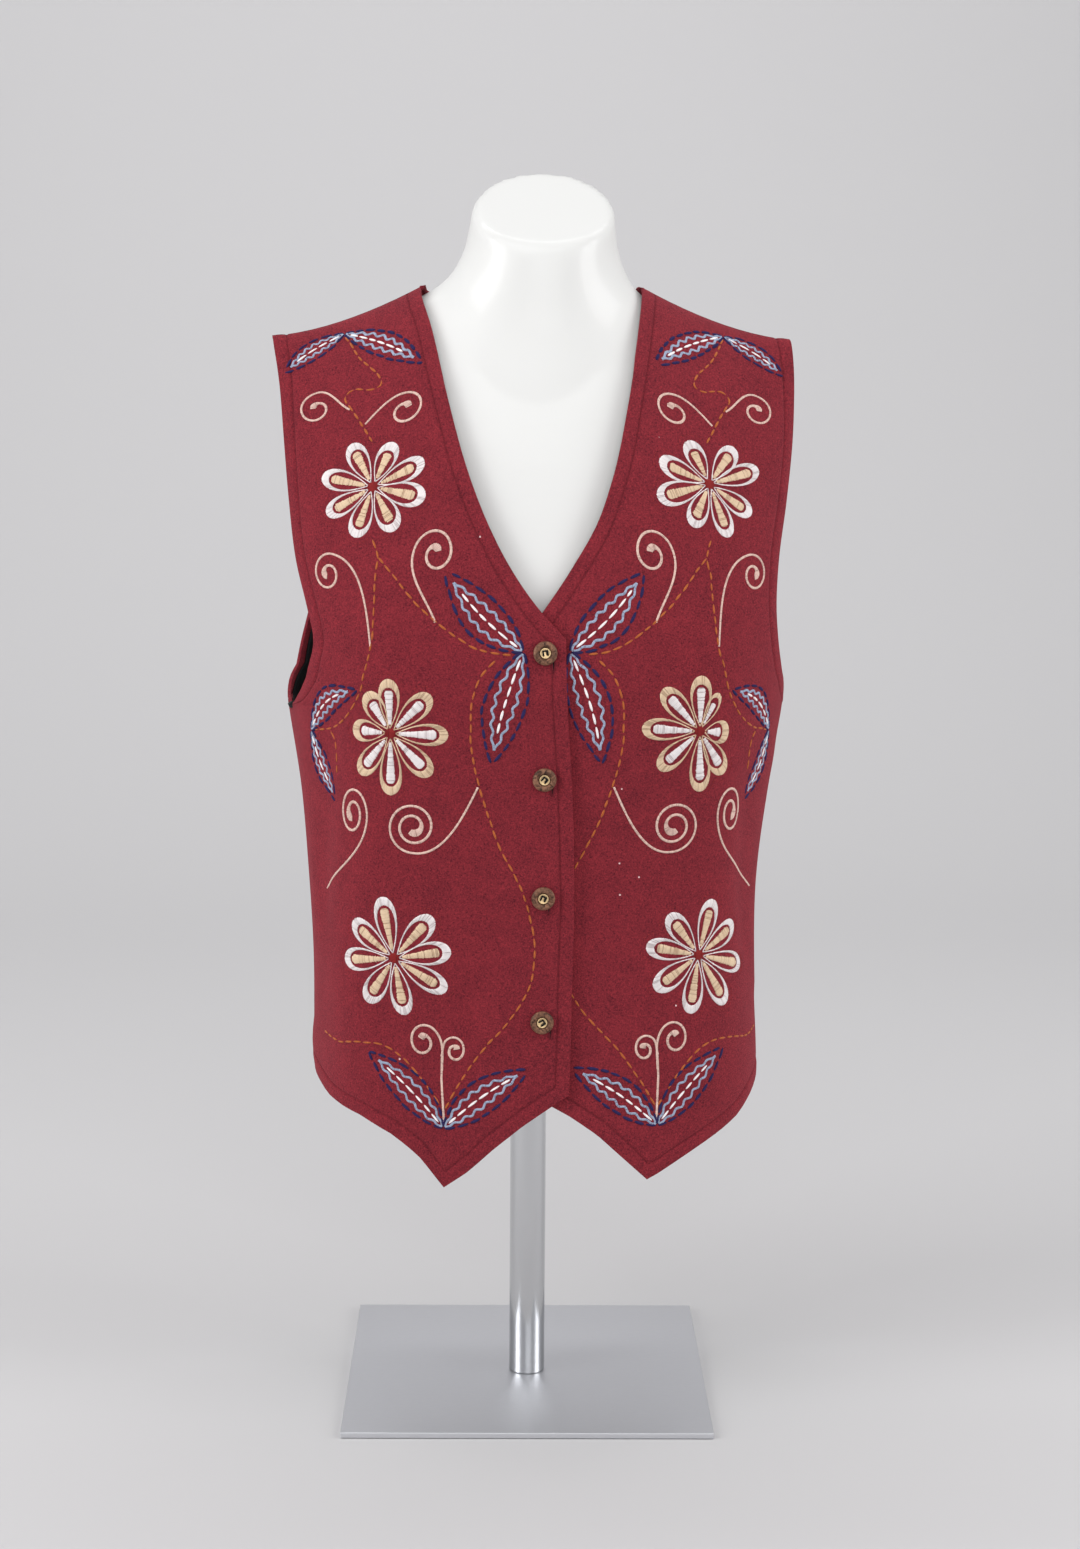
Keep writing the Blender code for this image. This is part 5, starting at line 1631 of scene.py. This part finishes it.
VINES = (
    ((-135.0, 770.0), (-124.0, 746.0), (-111.5, 729.5), (-108.5, 720.0), (-116.0, 718.5),
     (-128.5, 722.5), (-134.5, 717.5), (-130.0, 708.0), (-122.0, 693.5), (-115.0, 680.0)),
    ((-115.5, 612.0), (-111.5, 599.0), (-113.5, 586.0), (-114.5, 568.0), (-116.0, 551.0),
     (-118.0, 538.0), (-123.0, 522.0), (-128.0, 506.0), (-140.0, 490.0), (-156.0, 481.0),
     (-176.0, 477.5)),
    ((-158.0, 479.0), (-152.5, 470.0), (-151.5, 448.0)),
    ((-111.5, 599.0), (-101.0, 586.0), (-90.5, 572.0), (-79.0, 559.5), (-66.5, 548.5),
     (-51.5, 539.0), (-38.0, 534.5), (-23.5, 533.0)),
    ((-33.5, 530.0), (-43.5, 520.0), (-49.0, 507.0), (-50.5, 494.0), (-50.0, 475.0), (-46.5, 456.0),
     (-38.5, 430.0), (-29.0, 405.0), (-19.0, 387.5), (-10.5, 367.5), (-6.0, 346.0), (-5.5, 333.0),
     (-8.0, 315.0), (-15.0, 299.5), (-26.5, 284.0), (-41.5, 267.5), (-55.0, 248.0), (-68.0, 226.5)),
    ((-176.0, 266.0), (-152.0, 264.0), (-131.0, 267.0), (-112.5, 267.5), (-98.0, 261.0),
     (-85.0, 248.0), (-76.0, 236.0), (-69.5, 226.5)),
)
STEM = ((-69.5, 262.0), (-70.0, 247.0), (-68.5, 216.5))
LOWER_SHIFT, SHIFT_TOP, SHIFT_RUN = 7.5, 400.0, 100.0
print("one front has", len(LEAVES), "leaves,", len(CURLS), "curls and", len(VINES), "vines")

# %% [markdown]
# A leaf is two arcs between a base and a tip, a rippled line inside each, and a rib of white dashes.
# A curl is a spiral that runs on as a stem, and a vine is a rounded curve through a few points.

# %% Shapes of leaves, curls and vines

def to_side(path, side):
    """A path in metres on one front, from the right front's millimetres."""
    path = np.array(path, float)
    if side > 0:
        out = LOWER_SHIFT * np.clip((SHIFT_TOP - path[:, 1]) / SHIFT_RUN, 0, 1)
        path[:, 0] = -path[:, 0] + out
    return path * MM


def smooth_path(points, count=24):
    """A rounded curve through a few points."""
    points = np.asarray(points, float)
    padded = np.concatenate([2 * points[:1] - points[1:2], points, 2 * points[-1:] - points[-2:-1]])
    t = np.linspace(0, 1, count, endpoint=False)[:, None]
    pieces = []
    for a, b, c, d in zip(padded, padded[1:], padded[2:], padded[3:]):
        pieces.append(0.5 * ((2 * b) + (c - a) * t + (2 * a - 5 * b + 4 * c - d) * t * t
                             + (3 * b - a - 3 * c + d) * t ** 3))
    return np.concatenate(pieces + [points[-1:]])


def leaf_curve(leaf, low, high, half_width, sign, wave=0.0, waves=0):
    """One side of a leaf, from base to tip, with ripples if it has any."""
    base, tip = np.array(leaf[:2]), np.array(leaf[2:4])
    run = tip - base
    length = np.linalg.norm(run)
    ahead = run / length
    beside = np.array([-ahead[1], ahead[0]])
    t = np.linspace(low, high, 90)
    share = (t - low) / (high - low)
    out = half_width * np.sin(np.pi * share ** 0.92) ** 0.85
    out = out + wave * np.sin(share * waves * 2 * np.pi) * np.sin(np.pi * share) ** 0.4
    bow = leaf.bow * length * np.sin(np.pi * t)
    return base + ahead * (t * length)[:, None] + beside * (sign * out + bow)[:, None]


def curl_path(curl):
    """From the blob in its middle a spiral winds out, then runs on as a soft stem."""
    share = np.linspace(1, 0, 90)
    turns = math.radians(curl.leave) + 2 * np.pi * curl.turns * share
    reach = 1 - (1 - curl.inner) * share ** 0.95
    spiral = np.array([curl.across, curl.up]) + np.stack([curl.wide * reach * np.cos(turns),
                                                          curl.tall * reach * np.sin(turns)], -1)
    leave = spiral[-1] - spiral[-2]
    leave = leave / np.linalg.norm(leave)
    stem = np.array([curl.stem_across, curl.stem_up])
    reach = np.linalg.norm(stem - spiral[-1])
    angle = math.radians(curl.stem_angle)
    arrive = np.array([math.cos(angle), math.sin(angle)])
    t = np.linspace(0, 1, 40)[1:, None]
    stem_run = ((1 + 2 * t) * (1 - t) ** 2 * spiral[-1] + t * (1 - t) ** 2 * leave * reach
                + t * t * (3 - 2 * t) * stem - t * t * (1 - t) * arrive * reach)
    return np.concatenate([spiral, stem_run])


def blob_taper(share):
    """Thick at the curl's inner end, thin along its line, thinner at its stem."""
    return 0.95 + 1.5 * np.exp(-((share - 0.02) / 0.03) ** 2) - 0.25 * share


print("the first curl and its stem are", round(run_along(curl_path(CURLS[0]))[-1]), "mm long")

# %% Stitch leaves, curls and vines
OUTLINE_STITCH = Stitch(7.2 * MM, 1.3 * MM, 2.3 * MM, 0.85 * MM, 0.2 * MM)
RIB_STITCH = Stitch(7.2 * MM, 1.4 * MM, 1.7 * MM, 0.75 * MM, 0.0)
VINE_STITCH = Stitch(6.0 * MM, 1.7 * MM, 1.5 * MM, 0.6 * MM, 0.15 * MM)
WAVE_THREAD, CURL_THREAD, STEM_THREAD = (1.8 * MM, 0.7 * MM), (2.2 * MM, 0.7 * MM), (1.7 * MM, 0.65 * MM)
WAVE_LOW, WAVE_HIGH, WAVE_SHARE, RIPPLE, RIPPLES = 0.02, 0.88, 0.50, 1.1, 7
RIB_LOW, RIB_HIGH = 0.06, 0.80

for name, side in sides.items():
    outlines, waves, ribs, curls, vines = [], [], [], [], []
    for leaf in LEAVES:
        for sign in (-1, 1):
            edge = to_side(leaf_curve(leaf, 0.0, 1.0, leaf.half_width, sign), side)
            outlines += running_stitch(edge, *OUTLINE_STITCH)
            wave = leaf_curve(leaf, WAVE_LOW, WAVE_HIGH, leaf.half_width * WAVE_SHARE, sign,
                              RIPPLE, RIPPLES)
            waves.append(satin_line(to_side(wave, side), *WAVE_THREAD))
        rib = to_side(leaf_curve(leaf, RIB_LOW, RIB_HIGH, 0.0, 1), side)
        ribs += running_stitch(rib, *RIB_STITCH)
    for curl in CURLS:
        curls.append(satin_line(to_side(curl_path(curl), side), *CURL_THREAD, blob_taper))
    curls.append(satin_line(to_side(STEM, side), *STEM_THREAD))
    for vine in VINES:
        vines += running_stitch(to_side(smooth_path(vine), side), *VINE_STITCH)
    needlework(f"leaf_outlines_{name}", outlines, navy_wool, side)
    needlework(f"leaf_waves_{name}", waves, blue_silk, side)
    needlework(f"leaf_ribs_{name}", ribs, white_silk, side)
    needlework(f"curls_{name}", curls, rose_silk, side)
    needlework(f"vines_{name}", vines, ochre_silk, side)
